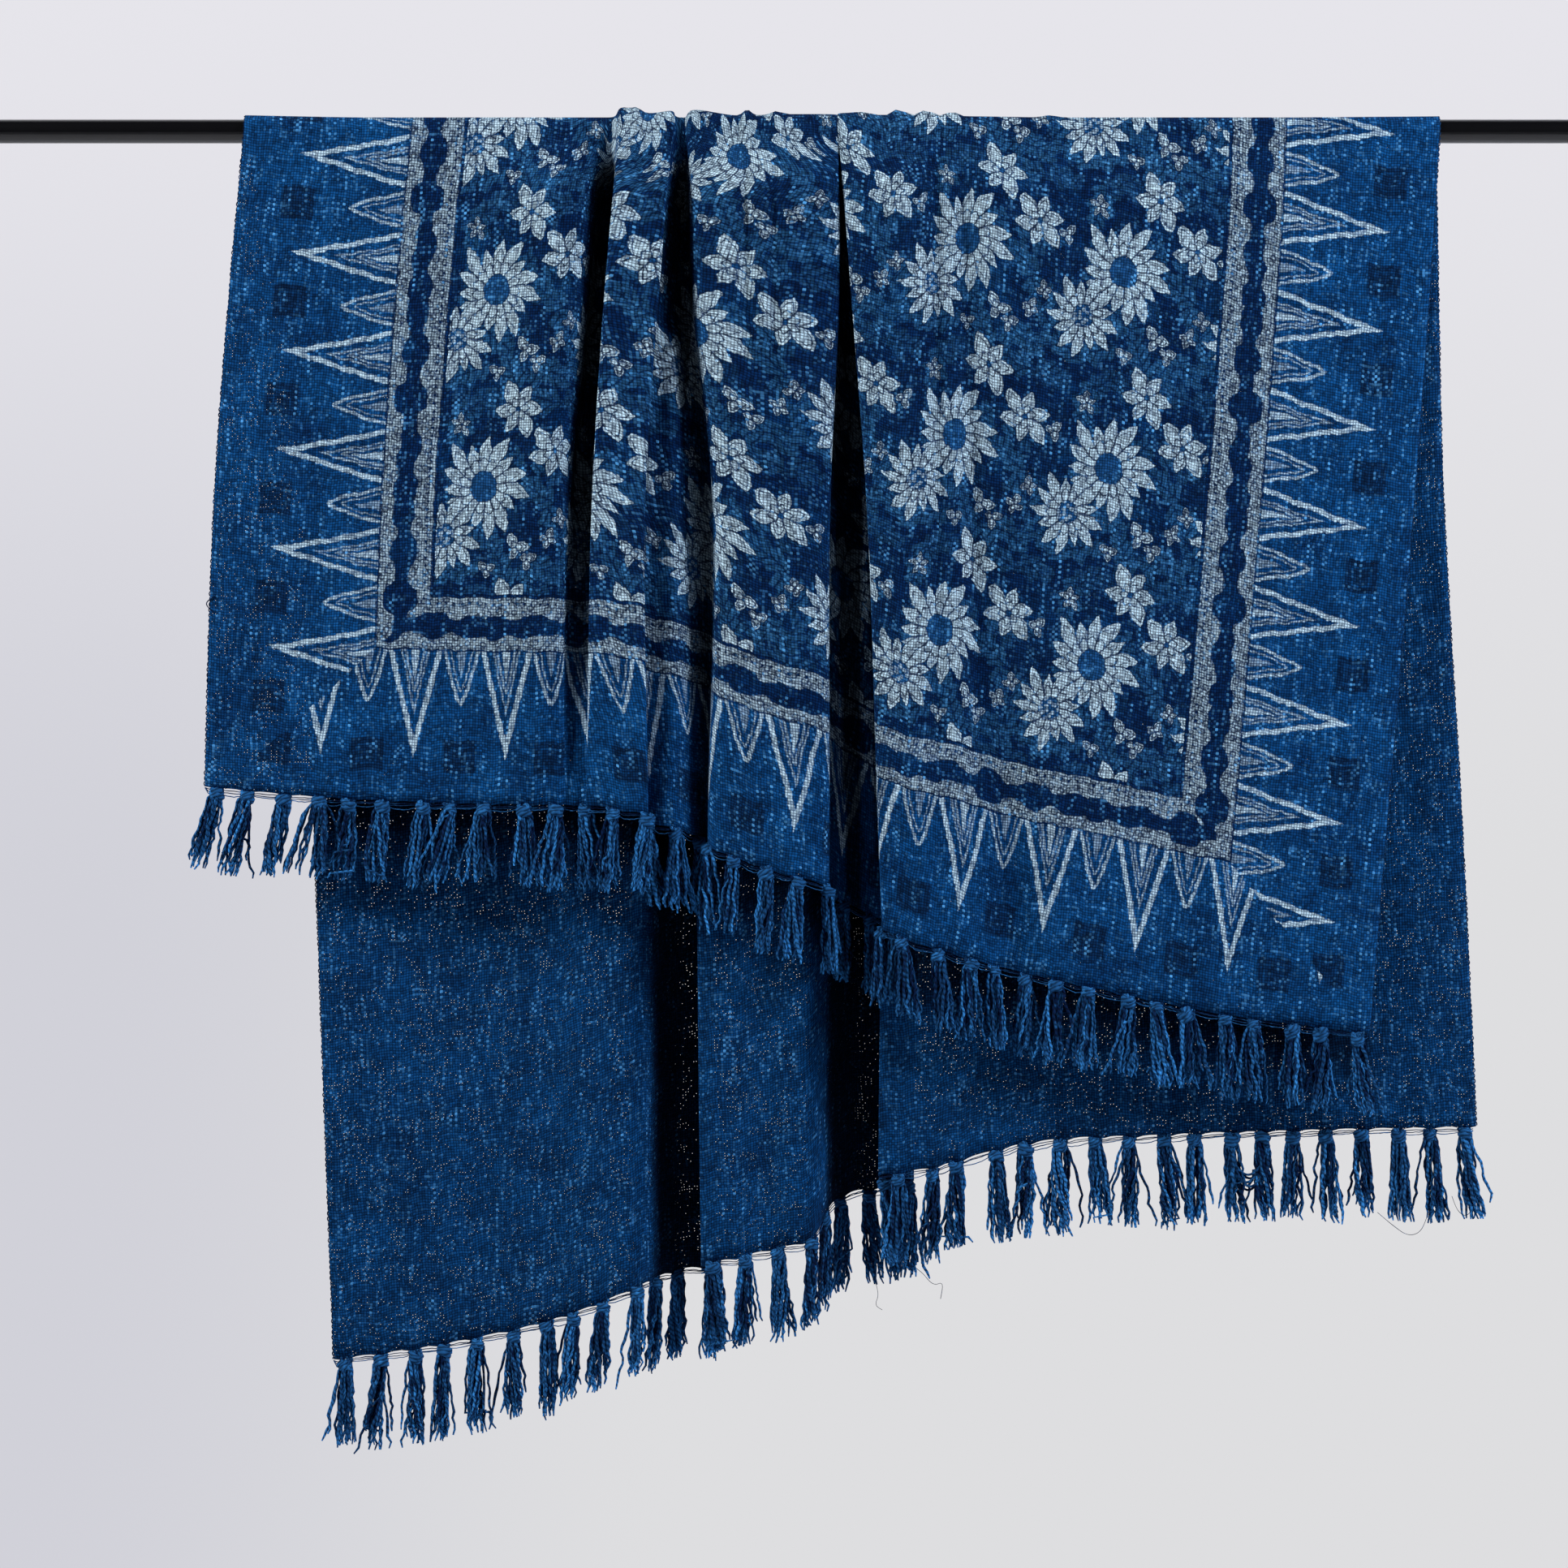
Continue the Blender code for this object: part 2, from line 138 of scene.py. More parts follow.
# A pale board behind the cloth and under it, out of the camera's sight, gives light
# back to it.
board = {
    "back": 1100,            # behind the rod
    "sweep": 700,
    "half": 6000,
    "front": -6500,
    "top": 4500,
    "colour": "#CCCDD3",
}

# Soft boxes: place, aim, width, height, watts, colour
lights = {
    "soft box on the left": ((-2300, -1500, 1500), (700, 0, -450), 1100, 1500, 155, "#FFFDF9"),
    "soft box on the right": ((3700, -1700, 1100), (760, 0, -680), 1100, 1500, 131, "#F8FAFF"),
    "low backdrop light": ((762, 600, -1950), (762, 1100, -1350), 3000, 200, 4.6, "#F6F8FF"),
    "top backdrop light": ((762, 400, 600), (762, 1100, 200), 2400, 200, 3.4, "#FFFFFF"),
    "right backdrop light": ((2900, 0, 600), (1700, 1100, -900), 900, 1400, 6, "#FFFFFF"),
}
roomLight = ("#E4E8EE", 0.04)


def makeCamera():
    data = bpy.data.cameras.new("camera")
    data.sensor_width = camera["sensor"]
    data.lens = camera["sensor"] * camera["distance"] / camera["pictureWidth"]
    obj = bpy.data.objects.new("camera", data)
    x, y, z = camera["aim"]
    obj.location = (x * mm, (y - camera["distance"]) * mm, z * mm)
    obj.rotation_euler = (math.pi / 2, 0.0, 0.0)
    bpy.context.scene.collection.objects.link(obj)
    bpy.context.scene.camera = obj


def makeLights():
    for name, (place, aim, width, height, watts, colour) in lights.items():
        data = bpy.data.lights.new(name, "AREA")
        data.shape = "RECTANGLE"
        data.size = width * mm
        data.size_y = height * mm
        data.energy = watts
        data.color = linear(colour)[:3]
        obj = bpy.data.objects.new(name, data)
        obj.location = Vector(place) * mm
        obj.rotation_euler = (Vector(aim) - Vector(place)).to_track_quat("-Z", "Y").to_euler()
        obj.visible_camera = False
        bpy.context.scene.collection.objects.link(obj)
    world = bpy.data.worlds.new("room")
    world.use_nodes = True
    background = world.node_tree.nodes["Background"]
    background.inputs["Color"].default_value = linear(roomLight[0])
    background.inputs["Strength"].default_value = roomLight[1]
    bpy.context.scene.world = world
    bpy.context.scene.view_settings.view_transform = "Standard"


def sweepLine(out, low, radius):
    # A quarter circle from the floor up to a wall, as (outward, z) points.
    turns = [math.pi / 2 * step / 12 for step in range(13)]
    return [(out - radius + radius * math.sin(t), low + radius - radius * math.cos(t)) for t in turns]


def addStagePiece(name, verts, faces, material):
    mesh = bpy.data.meshes.new(name)
    mesh.from_pydata(verts, [], faces)
    mesh.shade_smooth()
    mesh.materials.append(material)
    obj = bpy.data.objects.new(name, mesh)
    bpy.context.scene.collection.objects.link(obj)
    return obj


def makeBoard():
    line = [(board["front"], stage["floor"])]
    line += sweepLine(board["back"], stage["floor"], board["sweep"])
    line.append((board["back"], board["top"]))
    verts = [(side * board["half"] * mm, y * mm, z * mm) for y, z in line for side in (-1, 1)]
    faces = [(2 * i, 2 * i + 1, 2 * i + 3, 2 * i + 2) for i in range(len(line) - 1)]
    # Matt white foam board: even, with no gloss at all.
    foam = plainMaterial("matt white foam board", {
        "Base Color": linear(board["colour"]), "Roughness": 1.0, "Specular IOR Level": 0.0})
    obj = addStagePiece("foam_board", verts, faces, foam)
    obj.visible_camera = False


def makePaperMaterial():
    # Pale studio paper, evenly lit all round, so it carries its brightness itself:
    # a little darker low down on the left.
    paper, add, _ = emptyMaterial("pale studio paper")
    place = add("TexCoord")["Object"]
    x, _, z = add("SeparateXYZ", place)
    fades = {"interpolation_type": "SMOOTHSTEP"}
    right = add("MapRange", x, stage["fadeLeft"], stage["fadeRight"], **fades)[0]
    high = add("MapRange", z, stage["fadeLow"], stage["fadeHigh"], **fades)[0]
    low = add("Mix", data_type="RGBA", inputs={
        0: right, 6: linear(stage["lowLeft"]), 7: linear(stage["lowRight"])})[2]
    colour = add("Mix", data_type="RGBA", inputs={0: high, 6: low, 7: linear(stage["upper"])})[2]
    glow = add("Emission", colour, 1.0)[0]
    add("OutputMaterial", glow)
    return paper


def makeStage():
    # Floor, wall and ceiling of a round room, turned from one line. Only the camera
    # sees it, so it takes no light from the cloth and gives it none.
    wall, sides = stage["wall"], stage["sides"]
    line = [(1, stage["floor"])] + sweepLine(wall, stage["floor"], stage["sweep"])
    for step in range(13):
        turn = math.pi / 2 * step / 12
        rise = (stage["ceiling"] - stage["eaves"]) * math.sin(turn)
        line.append((max(wall * math.cos(turn), 1), stage["eaves"] + rise))
    middle = camera["aim"][0]
    verts = [
        ((middle + out * math.cos(t)) * mm, out * math.sin(t) * mm, z * mm)
        for out, z in line for t in np.linspace(0, 2 * math.pi, sides, endpoint=False)
    ]
    faces = [
        (r * sides + s, (r + 1) * sides + s, (r + 1) * sides + (s + 1) % sides, r * sides + (s + 1) % sides)
        for r in range(len(line) - 1) for s in range(sides)
    ]
    obj = addStagePiece("studio_paper", verts, faces, makePaperMaterial())
    obj.visible_diffuse = False
    obj.visible_glossy = False
    obj.visible_transmission = False
    obj.visible_shadow = False


# The cloth's hanging shape

cloth = {
    "width": 1270,           # cut size, across the rod
    "length": 1778,          # cut size, hem to hem
    "thickness": 1.1,
    "wrapRadius": 12.4,      # from the rod's axis to the cloth's middle
    "columns": 246,
    "widestColumn": 11,
    "bendCrowding": 0.12,
    "bendSpread": 31,
    "frontRows": 88,
    "wrapRows": 12,
    "backRows": 92,
    "rowCrowding": 1.35,     # how much closer the rows lie near the rod
    "highDrop": 140,         # drops at which the fold tables give their depths
    "lowDrop": 630,
}

# Fold lines of the front flap, from the left selvedge to the right one: x at the
# rod and 140, 330 and 630 below it, height of a gather over the rod, how far the
# cloth stands before the rod's axis high up and low down, and the hem's drop.
frontFolds = {
    "left selvedge": (265, 252, 238, 228, 2, 13, 14, 605),
    "left third": (373, 361, 347, 337, 0, 15, 13, 615),
    "left two thirds": (481, 469, 455, 446, 0, 17, 16, 620),
    "left panel edge": (588, 580, 563, 554, 0, 20, 20, 622),
    "first valley": (600, 588, 570, 564, 0, -20, 10, 622),
    "first tuck": (607, 606, 592, 580, 2, -4, 20, 622),
    "first pleat lip": (612, 599, 587, 582, 9, 36, 27, 622),
    "first pleat": (637, 623, 611, 610, 4, 38, 38, 626),
    "sharp lip": (658, 648, 635, 637, 6, 40, 40, 631),
    "under sharp lip": (661, 643, 629, 631, 2, 22, 20, 635),
    "second valley": (665, 658, 655, 657, 0, -4, 30, 642),
    "second tuck": (671, 675, 692, 690, 0, -16, -2, 654),
    "second pleat lip": (680, 683, 701, 696, 7, 28, 26, 661),
    "second pleat": (716, 724, 733, 729, 2, 41, 40, 674),
    "second pleat ridge": (764, 771, 780, 775, 3, 46, 44, 688),
    "second pleat edge": (803, 805, 800, 798, 3, 37, 33, 694),
    "deep valley left": (808, 811, 807, 806, 0, -6, -10, 703),
    "deep valley": (812, 821, 829, 829, 0, -26, -30, 718),
    "deep valley right": (815, 832, 849, 858, 0, -6, -6, 731),
    "right panel lip": (818, 826, 839, 850, 4, 36, 38, 736),
    "right panel": (852, 857, 865, 876, 2, 44, 44, 747),
    "first flower line": (940, 933, 925, 911, 1, 38, 38, 755),
    "between flowers": (1010, 1003, 992, 979, 0, 33, 33, 774),
    "second flower line": (1084, 1073, 1060, 1035, 0, 28, 26, 785),
    "border line": (1222, 1213, 1200, 1176, 0, 21, 18, 814),
    "right selvedge": (1366, 1357, 1343, 1318, 1, 15, 14, 833),
}
frontDrops = (0, 140, 330, 630)
frontMeasuredAt = 470
frontSettle = 68

# Fold lines of the back flap: x at 330, 630 and 930 below the rod, how far the
# cloth stands behind the rod's axis high up and low down, and the hem's drop.
backFolds = {
    "left selvedge": (314, 326, 337, 13, 12, 1136),
    "left third": (420, 430, 441, 17, 19, 1122),
    "left two thirds": (525, 534, 543, 13, 15, 1099),
    "left panel edge": (620, 627, 630, 10, 12, 1066),
    "first fold wall": (635, 640, 642, 28, 33, 1062),
    "first fold floor": (652, 660, 663, 46, 54, 1057),
    "first fold tuck": (676, 688, 692, 44, 52, 1053),
    "first fold return": (679, 693, 697, 26, 30, 1051),
    "middle panel lip": (668, 680, 684, 10, 11, 1049),
    "middle panel": (726, 739, 742, 6, 8, 1035),
    "middle panel edge": (776, 787, 790, 10, 11, 1020),
    "second fold wall": (793, 801, 803, 32, 35, 997),
    "second fold floor": (810, 820, 823, 56, 61, 986),
    "second fold tuck": (855, 866, 868, 62, 68, 980),
    "second fold end": (876, 882, 883, 46, 50, 974),
    "second fold return": (860, 863, 863, 25, 27, 969),
    "right panel lip": (845, 852, 850, 10, 10, 966),
    "right panel": (889, 896, 896, 6, 8, 958),
    "right panel third": (968, 975, 979, 11, 13, 937),
    "right panel middle": (1103, 1110, 1118, 14, 18, 928),
    "right border line": (1241, 1253, 1264, 12, 14, 923),
    "right selvedge": (1373, 1390, 1404, 12, 12, 920),
}
backDrops = (0, 330, 630, 930)
backMeasuredAt = 800
backSettle = 230

# Gathers that stand up over the rod: x there, height, half width.
gathers = {
    "beside first pleat": (626, 3.0, 5),
    "in second pleat": (728, 5.5, 5),
    "second pleat crest": (755, 3.0, 6),
    "right lip gather": (834, 2.0, 10),
    "tall gather": (868, 6.5, 7),
    "wide gather": (893, 5.5, 8),
    "last gather": (917, 4.5, 6),
    "stray gather": (1007, 2.0, 8),
}
gatherReach = 55

# Soft troughs and, where the depth is below zero, ridges pressed into the front
# flap: x at the rod and 140 and 630 below it, the drops between which it shows,
# depth high up and low down, half width.
frontCreases = {
    "slanting trough": (908, 937, 962, 0, 900, 5, 17, 27),
    "rise at the first valley's foot": (567, 567, 567, 330, 760, -7, -16, 14),
    "lit floor of the recess": (662, 662, 664, 165, 600, -17, -4, 13),
    "trough left of the wide gather": (884, 884, 884, 8, 150, 4, 2, 5),
    "first trough from the gathers": (901, 902, 903, 8, 620, 11, 3, 8),
    "second trough from the gathers": (923, 929, 941, 8, 640, 9, 4, 9),
    "trough beside the pleat's ridge": (754, 754, 766, 8, 480, 9, 3, 7),
    "short trough in the second pleat": (728, 730, 736, 4, 300, 9, 2, 6),
    "nick in the first pleat": (632, 629, 627, 2, 60, 9, 3, 5),
    "fold in the second pleat": (742, 746, 752, 200, 700, 2, 5, 11),
    "dip in the left panel": (520, 508, 492, 60, 640, 2, 4, 24),
    "roll beside the first valley": (575, 560, 536, 80, 640, -2, -4, 13),
    "dip below the right panel": (1010, 1000, 985, 300, 800, 2, 6, 22),
    "faint right trough": (1150, 1140, 1120, 120, 800, 2, 4, 20),
    "fold before the border": (1200, 1188, 1166, 250, 860, -1.5, -3, 12),
}

# The same on the back flap: x at 330 and 930 below the rod.
backCreases = {
    "roll behind the first valley": (582, 566, 8, 640, 26, 20, 26),
    "roll behind the second pleat": (686, 692, 8, 660, 24, 18, 22),
    "dip in the left panel": (470, 486, 300, 1150, 3, 5, 26),
    "roll in the left panel": (560, 572, 300, 1150, -2, -3, 18),
    "dip in the middle panel": (735, 748, 300, 1080, 2, 4, 14),
    "dip in the right panel": (1010, 1024, 300, 960, 3, 4, 26),
    "roll in the right panel": (1180, 1196, 300, 950, -3, -4, 24),
}

# Slight unevenness all over: half wavelengths across and along, height.
puckers = ((17, 45, 0.35), (31, 23, 0.35), (52, 88, 0.7), (23, 150, 0.5))


def smoothCurve(keys, values, at):
    # Hermite curve through values (rows, keys), one row for each entry of at; it
    # runs on straight beyond its first and last keys.
    keys = np.asarray(keys, float)
    slopes = np.gradient(values, keys, axis=-1)
    i = np.clip(np.searchsorted(keys, at, side="right") - 1, 0, len(keys) - 2)
    rows = np.arange(len(at))
    span = keys[i + 1] - keys[i]
    t = np.clip((at - keys[i]) / span, 0.0, 1.0)
    p0, p1 = values[rows, i], values[rows, i + 1]
    m0, m1 = slopes[rows, i] * span, slopes[rows, i + 1] * span
    inside = (
        (2 * t**3 - 3 * t**2 + 1) * p0
        + (t**3 - 2 * t**2 + t) * m0
        + (3 * t**2 - 2 * t**3) * p1
        + (t**3 - t**2) * m1
    )
    before = np.minimum(at - keys[0], 0.0) * slopes[:, 0]
    after = np.maximum(at - keys[-1], 0.0) * slopes[:, -1]
    return inside + before + after


def runAlong(x, y):
    # Distance along a line of points, from its first one.
    return np.concatenate(([0.0], np.cumsum(np.hypot(np.diff(x), np.diff(y)))))


def runOf(line):
    # The same for points in space.
    return np.concatenate(([0.0], np.cumsum(np.linalg.norm(np.diff(line, axis=0), axis=1))))


def pointsOn(line, run, at):
    return np.column_stack([np.interp(at, run, line[:, axis]) for axis in range(3)])


def linesAt(flap, drop):
    # Every fold line's x and its distance from the rod's axis, a row for each drop.
    tracks = [smoothCurve(flap["drops"], np.tile(t, (len(drop), 1)), drop) for t in flap["tracks"]]
    x = np.column_stack(tracks)
    fade = np.clip((drop - cloth["highDrop"]) / (cloth["lowDrop"] - cloth["highDrop"]), 0, 1)
    hanging = flap["high"] + (flap["low"] - flap["high"]) * fade[:, None]
    near = cloth["wrapRadius"] + flap["lift"]
    return x, near + (hanging - near) * ease(drop / flap["settle"])[:, None]


def sectionAt(flap, tau, drop):
    x, out = linesAt(flap, drop)
    return smoothCurve(flap["keys"], x, tau), smoothCurve(flap["keys"], out, tau)


def makeFlap(drops, tracks, lift, rows, measuredAt, settle):
    # One half of the cloth. Its threads are found along its section at one drop.
    high, low, hem = (np.array([row[column] for row in rows], float) for column in (-3, -2, -1))
    flap = dict(drops=drops, tracks=tracks, lift=lift, high=high, low=low, hem=hem, settle=settle)
    x, out = linesAt(flap, np.array([measuredAt], float))
    flap["keys"] = runAlong(x[0], out[0])
    flap["tau"] = np.linspace(0.0, flap["keys"][-1], 4001)
    run = runAlong(*sectionAt(flap, flap["tau"], np.full(4001, float(measuredAt))))
    flap["run"] = run * cloth["width"] / run[-1]
    return flap


def makeFlaps():
    rows = list(frontFolds.values())
    tracks = np.array([row[:4] for row in rows], float)
    lift = np.array([row[4] for row in rows], float)
    front = makeFlap(frontDrops, tracks, lift, rows, frontMeasuredAt, frontSettle)
    # The back's lines are found twice: first by their hanging shape, then joined to
    # the place where the same threads cross the rod.
    rows = list(backFolds.values())
    hanging = np.array([row[:3] for row in rows], float)
    start = hanging[:, :1]
    for _ in range(2):
        tracks = np.hstack((start, hanging))
        back = makeFlap(backDrops, tracks, np.zeros(len(rows)), rows, backMeasuredAt, backSettle)
        thread = np.interp(back["keys"], back["tau"], back["run"])
        start = overRod(front, thread)[0][:, None]
    return front, back


def placeOf(flap, thread):
    return np.interp(thread, flap["run"], flap["tau"])


def hemAt(flap, thread):
    tau = placeOf(flap, thread)
    return smoothCurve(flap["keys"], np.tile(flap["hem"], (len(tau), 1)), tau)


def overRod(front, thread):
    # Where each thread crosses the rod, and how far it stands off it.
    tau = placeOf(front, thread)
    x, out = sectionAt(front, tau, np.zeros(len(tau)))
    lift = np.maximum(out - cloth["wrapRadius"], 0.0)
    for where, height, halfWidth in gathers.values():
        lift = lift + height * np.exp(-(((x - where) / halfWidth) ** 2))
    return x, lift


def frontPoint(front, thread, drop):
    tau = placeOf(front, thread)
    x, out = sectionAt(front, tau, drop)
    plainLift = sectionAt(front, tau, np.zeros(len(tau)))[1] - cloth["wrapRadius"]
    gather = overRod(front, thread)[1] - plainLift
    out = out + gather * np.exp(-((drop / gatherReach) ** 2))
    marks = (0, cloth["highDrop"], cloth["lowDrop"])
    for xRod, xHigh, xLow, first, last, shallow, deep, halfWidth in frontCreases.values():
        lean = (xLow - xHigh) / (cloth["lowDrop"] - cloth["highDrop"])
        line = np.interp(drop, marks, (xRod, xHigh, xLow))
        line = line + np.maximum(drop - cloth["lowDrop"], 0.0) * lean
        depth = np.interp(drop, marks, (0.0, shallow, deep))
        if first > 0:
            depth = np.interp(drop, (first, last), (shallow, deep))
            depth = depth * ease((drop - first) / 40) * ease((last - drop) / 60)
        out = out - depth * np.exp(-(((x - line) / halfWidth) ** 2))
    return x, -out, -drop


def backPoint(front, back, thread, drop):
    tau = placeOf(back, thread)
    x, out = sectionAt(back, tau, drop)
    xRod, lift = overRod(front, thread)
    start = sectionAt(back, tau, np.zeros(len(tau)))[0]
    x = x + (xRod - start) * (1.0 - ease(drop / backSettle))
    out = out + lift * np.exp(-((drop / gatherReach) ** 2))
    for xHigh, xLow, first, last, shallow, deep, halfWidth in backCreases.values():
        line = xHigh + (drop - 330) * (xLow - xHigh) / 600
        depth = np.interp(drop, (first, last), (shallow, deep))
        depth = depth * ease((drop - first) / 60) * ease((last - drop) / 60)
        out = out + depth * np.exp(-(((x - line) / halfWidth) ** 2))
    return x, out, -drop


def pucker(thread, drop):
    # How far the cloth's small unevenness pushes it out at one place.
    height = np.zeros(len(thread))
    for number, (across, along, much) in enumerate(puckers):
        wave = thread / across + 0.7 * np.sin(drop / along / 1.7 + number) + 1.3 * number
        height += much * np.sin(np.pi * wave) * np.sin(np.pi * drop / along + 2.1 * number + thread / 140)
    return height * ease(drop / 60)


def hemPull(thread, seed, depth):
    # Knots draw the hem down a little.
    places = tasselPlaces(cloth["width"], seed)[0]
    away = np.abs(thread[:, None] - places).min(axis=1)
    return depth * np.exp(-((away / 6.5) ** 2))


def chooseThreads(front, back):
    # Columns of the sheet: even ones, drawn together where either flap bends.
    thread = np.linspace(0.0, cloth["width"], 2541)
    sections = [frontPoint(front, thread, np.full(2541, float(drop))) for drop in frontDrops]
    sections += [backPoint(front, back, thread, np.full(2541, float(drop))) for drop in backDrops[1:]]
    bend = np.zeros(len(thread))
    for x, y, _ in sections:
        angle = np.unwrap(np.arctan2(np.gradient(y), np.gradient(x)))
        bend += np.abs(np.gradient(angle, thread))
    spread = np.hanning(cloth["bendSpread"])
    bend = np.convolve(bend, spread / spread.sum(), mode="same")
    crowd = 1.0 / cloth["widestColumn"] + cloth["bendCrowding"] * np.sqrt(bend)
    total = np.cumsum(crowd)
    return np.interp(np.linspace(total[0], total[-1], cloth["columns"]), total, thread)


def clothGrid(front, back, threads):
    # Points of the cloth's middle surface, a row from front hem to back hem.
    frontHem = hemAt(front, threads) + hemPull(threads, frontFringe["seed"], frontFringe["pull"])
    backHem = hemAt(back, threads) + hemPull(threads, backFringe["seed"], backFringe["pull"])
    rows = []
    for step in range(cloth["frontRows"], 0, -1):
        drop = frontHem * (step / cloth["frontRows"]) ** cloth["rowCrowding"]
        x, y, z = frontPoint(front, threads, drop)
        rows.append((x, y - pucker(threads, drop), z))
    x, lift = overRod(front, threads)
    radius = cloth["wrapRadius"] + lift
    for step in range(cloth["wrapRows"] + 1):
        angle = math.pi * step / cloth["wrapRows"]
        rows.append((x, -radius * math.cos(angle), radius * math.sin(angle)))
    for step in range(1, cloth["backRows"] + 1):
        drop = backHem * (step / cloth["backRows"]) ** cloth["rowCrowding"]
        x, y, z = backPoint(front, back, threads, drop)
        rows.append((x, y + pucker(threads + 300, drop), z))
    return np.array(rows).transpose(0, 2, 1)


def clothPlaces(grid, threads, front, back):
    # Every point's place on the cut cloth: from the left selvedge and from the front
    # hem. Both side panels keep their true width in every row, and what the gathers
    # take up is left to the folds between them.
    frontLines = np.interp(front["keys"], front["tau"], front["run"])
    backLines = np.interp(back["keys"], back["tau"], back["run"])
    names = list(frontFolds)
    frontEnds = [frontLines[names.index(name)] for name in ("first valley", "right panel lip")]
    names = list(backFolds)
    backEnds = [backLines[names.index(name)] for name in ("left panel edge", "right panel lip")]
    across = np.empty(grid.shape[:2])
    firstBack = cloth["frontRows"] + cloth["wrapRows"] + 1
    for r, row in enumerate(grid):
        run = runOf(row[:, :2])
        left, right = np.interp(frontEnds if r < firstBack else backEnds, threads, run)
        toRight = cloth["width"] - run[-1]
        marks = (0.0, left, right, run[-1])
        across[r] = np.interp(run, marks, (0.0, left, right + toRight, cloth["width"]))
    steps = np.linalg.norm(np.diff(grid, axis=0), axis=2)
    along = np.vstack((np.zeros(grid.shape[1]), np.cumsum(steps, axis=0)))
    top = along[firstBack - 1]
    over = along > top
    stretch = (cloth["length"] - top) / (along[-1] - top)
    along = np.where(over, top + (along - top) * stretch, along)
    return np.dstack((across, along, np.zeros(across.shape)))


# Painted shade: little light gets into the folds or between the two flaps, so the
# cloth's colour is darkened there, by how far a place lies behind what stands up on
# both sides of it.
shades = {
    "reach": 31,             # how far aside a fold is felt, on the print
    "reachInside": 50,       # and on the reverse, whose folds are wider
    "first": 11,             # the depth at which a fold begins to darken
    "full": 24,              # and how much deeper it is darkest
    "deepest": 0.17,
    "underHem": 0.26,        # painted shadow on the back flap, behind the front one
    "hemFade": 80,           # over which the painted shadow fades out below the front hem
}


def foldShade(x, height, reach):
    # One row of points: how light each lies between the folds beside it.
    apart = x[None, :] - x[:, None]
    near = np.abs(apart) < reach
    onLeft = np.where(near & (apart <= 0), height, -1e3).max(axis=1)
    onRight = np.where(near & (apart >= 0), height, -1e3).max(axis=1)
    depth = np.minimum(onLeft, onRight) - height
    return 1 - (1 - shades["deepest"]) * ease((depth - shades["first"]) / shades["full"])


def clothShades(grid):
    # For every point, the painted shade on its printed side and on its reverse.
    outer, inner = np.empty(grid.shape[:2]), np.empty(grid.shape[:2])
    firstBack = cloth["frontRows"] + cloth["wrapRows"] + 1
    order = np.argsort(grid[0, :, 0])
    hemX, hemZ = grid[0, order, 0], grid[0, order, 2]
    frontRows = grid[: cloth["frontRows"]]
    for r, row in enumerate(grid):
        side = -1 if r < cloth["frontRows"] + cloth["wrapRows"] / 2 else 1
        outer[r] = foldShade(row[:, 0], side * row[:, 1], shades["reach"])
        inner[r] = foldShade(row[:, 0], -side * row[:, 1], shades["reachInside"])
        # Painted shadow of the front flap on the back flap's reverse: darkest behind it, fading out below
        # its hem and beside its edges.
        if r >= firstBack:
            below = np.interp(row[:, 0], hemX, hemZ) - row[:, 2]
            rightEdge = np.interp(row[:, 2], frontRows[:, -1, 2], frontRows[:, -1, 0])
            leftEdge = np.interp(row[:, 2], frontRows[:, 0, 2], frontRows[:, 0, 0])
            past = np.maximum(row[:, 0] - rightEdge, leftEdge - row[:, 0])
            openness = np.maximum(ease(below / shades["hemFade"]), ease((past + 3) / 8))
            inner[r] *= shades["underHem"] + (1 - shades["underHem"]) * openness
    return outer, inner


def makeSheet(grid, places, printed, plain):
    # The middle surface, given its thickness: the printed face lies outside.
    rows, columns = grid.shape[:2]
    mesh = bpy.data.meshes.new("throw_blanket")
    faces = []
    for r in range(rows - 1):
        for c in range(columns - 1):
            a = r * columns + c
            faces.append((a, a + 1, a + 1 + columns, a + columns))
    mesh.from_pydata((grid.reshape(-1, 3) * mm).tolist(), [], faces)
    cut = mesh.attributes.new("cutPlace", "FLOAT_VECTOR", "POINT")
    cut.data.foreach_set("vector", places.reshape(-1, 3).astype(np.float32).ravel())
    # The painted shade of both faces goes on as point attributes.
    for name, values in zip(("outerShade", "innerShade"), clothShades(grid)):
        shade = mesh.attributes.new(name, "FLOAT", "POINT")
        shade.data.foreach_set("value", values.astype(np.float32).ravel())
    mesh.shade_smooth()
    mesh.materials.append(printed)
    mesh.materials.append(plain)
    obj = bpy.data.objects.new("throw_blanket", mesh)
    bpy.context.scene.collection.objects.link(obj)
    thick = obj.modifiers.new("thickness", "SOLIDIFY")
    thick.thickness = cloth["thickness"] * mm
    thick.offset = 0.0
    thick.material_offset = 1
    thick.material_offset_rim = 1
    bpy.context.view_layer.update()
    graph = bpy.context.evaluated_depsgraph_get()
    solid = bpy.data.meshes.new_from_object(obj.evaluated_get(graph))
    obj.modifiers.remove(thick)
    obj.data = solid
    solid.name = "throw_blanket"
    return obj


# Cotton and its print

# Hand-loomed slub cotton: coarse, uneven threads that leave pinholes of light.
weave = {
    "pitch": 2.5,            # from thread to thread, both ways
    "height": 0.4,           # how far a thread stands up
    "pinhole": 0.125,        # half of a pinhole, as a share of the pitch
    "wander": 1.4,           # of a thread, in pitches
    "warpSlubs": (0.56, 0.76, 0.0, 1.0),  # noise from and to, strength from and to
    "weftSlubs": (0.61, 0.80, 0.0, 0.6),
    "loosePatches": (0.45, 0.62, 0.05, 0.28),  # noise from and to, share of pinholes
    "ditches": (0.1, 0.8, 0.22, 1.0),     # height from and to, lightness from and to: painted shade in the ditches
    "bump": 0.7,
    "roughness": 0.92,
    "gloss": 0.05,
    "ground": "#0E4E8B",
    "deepGround": "#042450",
    "slub": "#58A4E4",
    "reverse": "#0B4B88",
    "reverseDeep": "#052850",
}

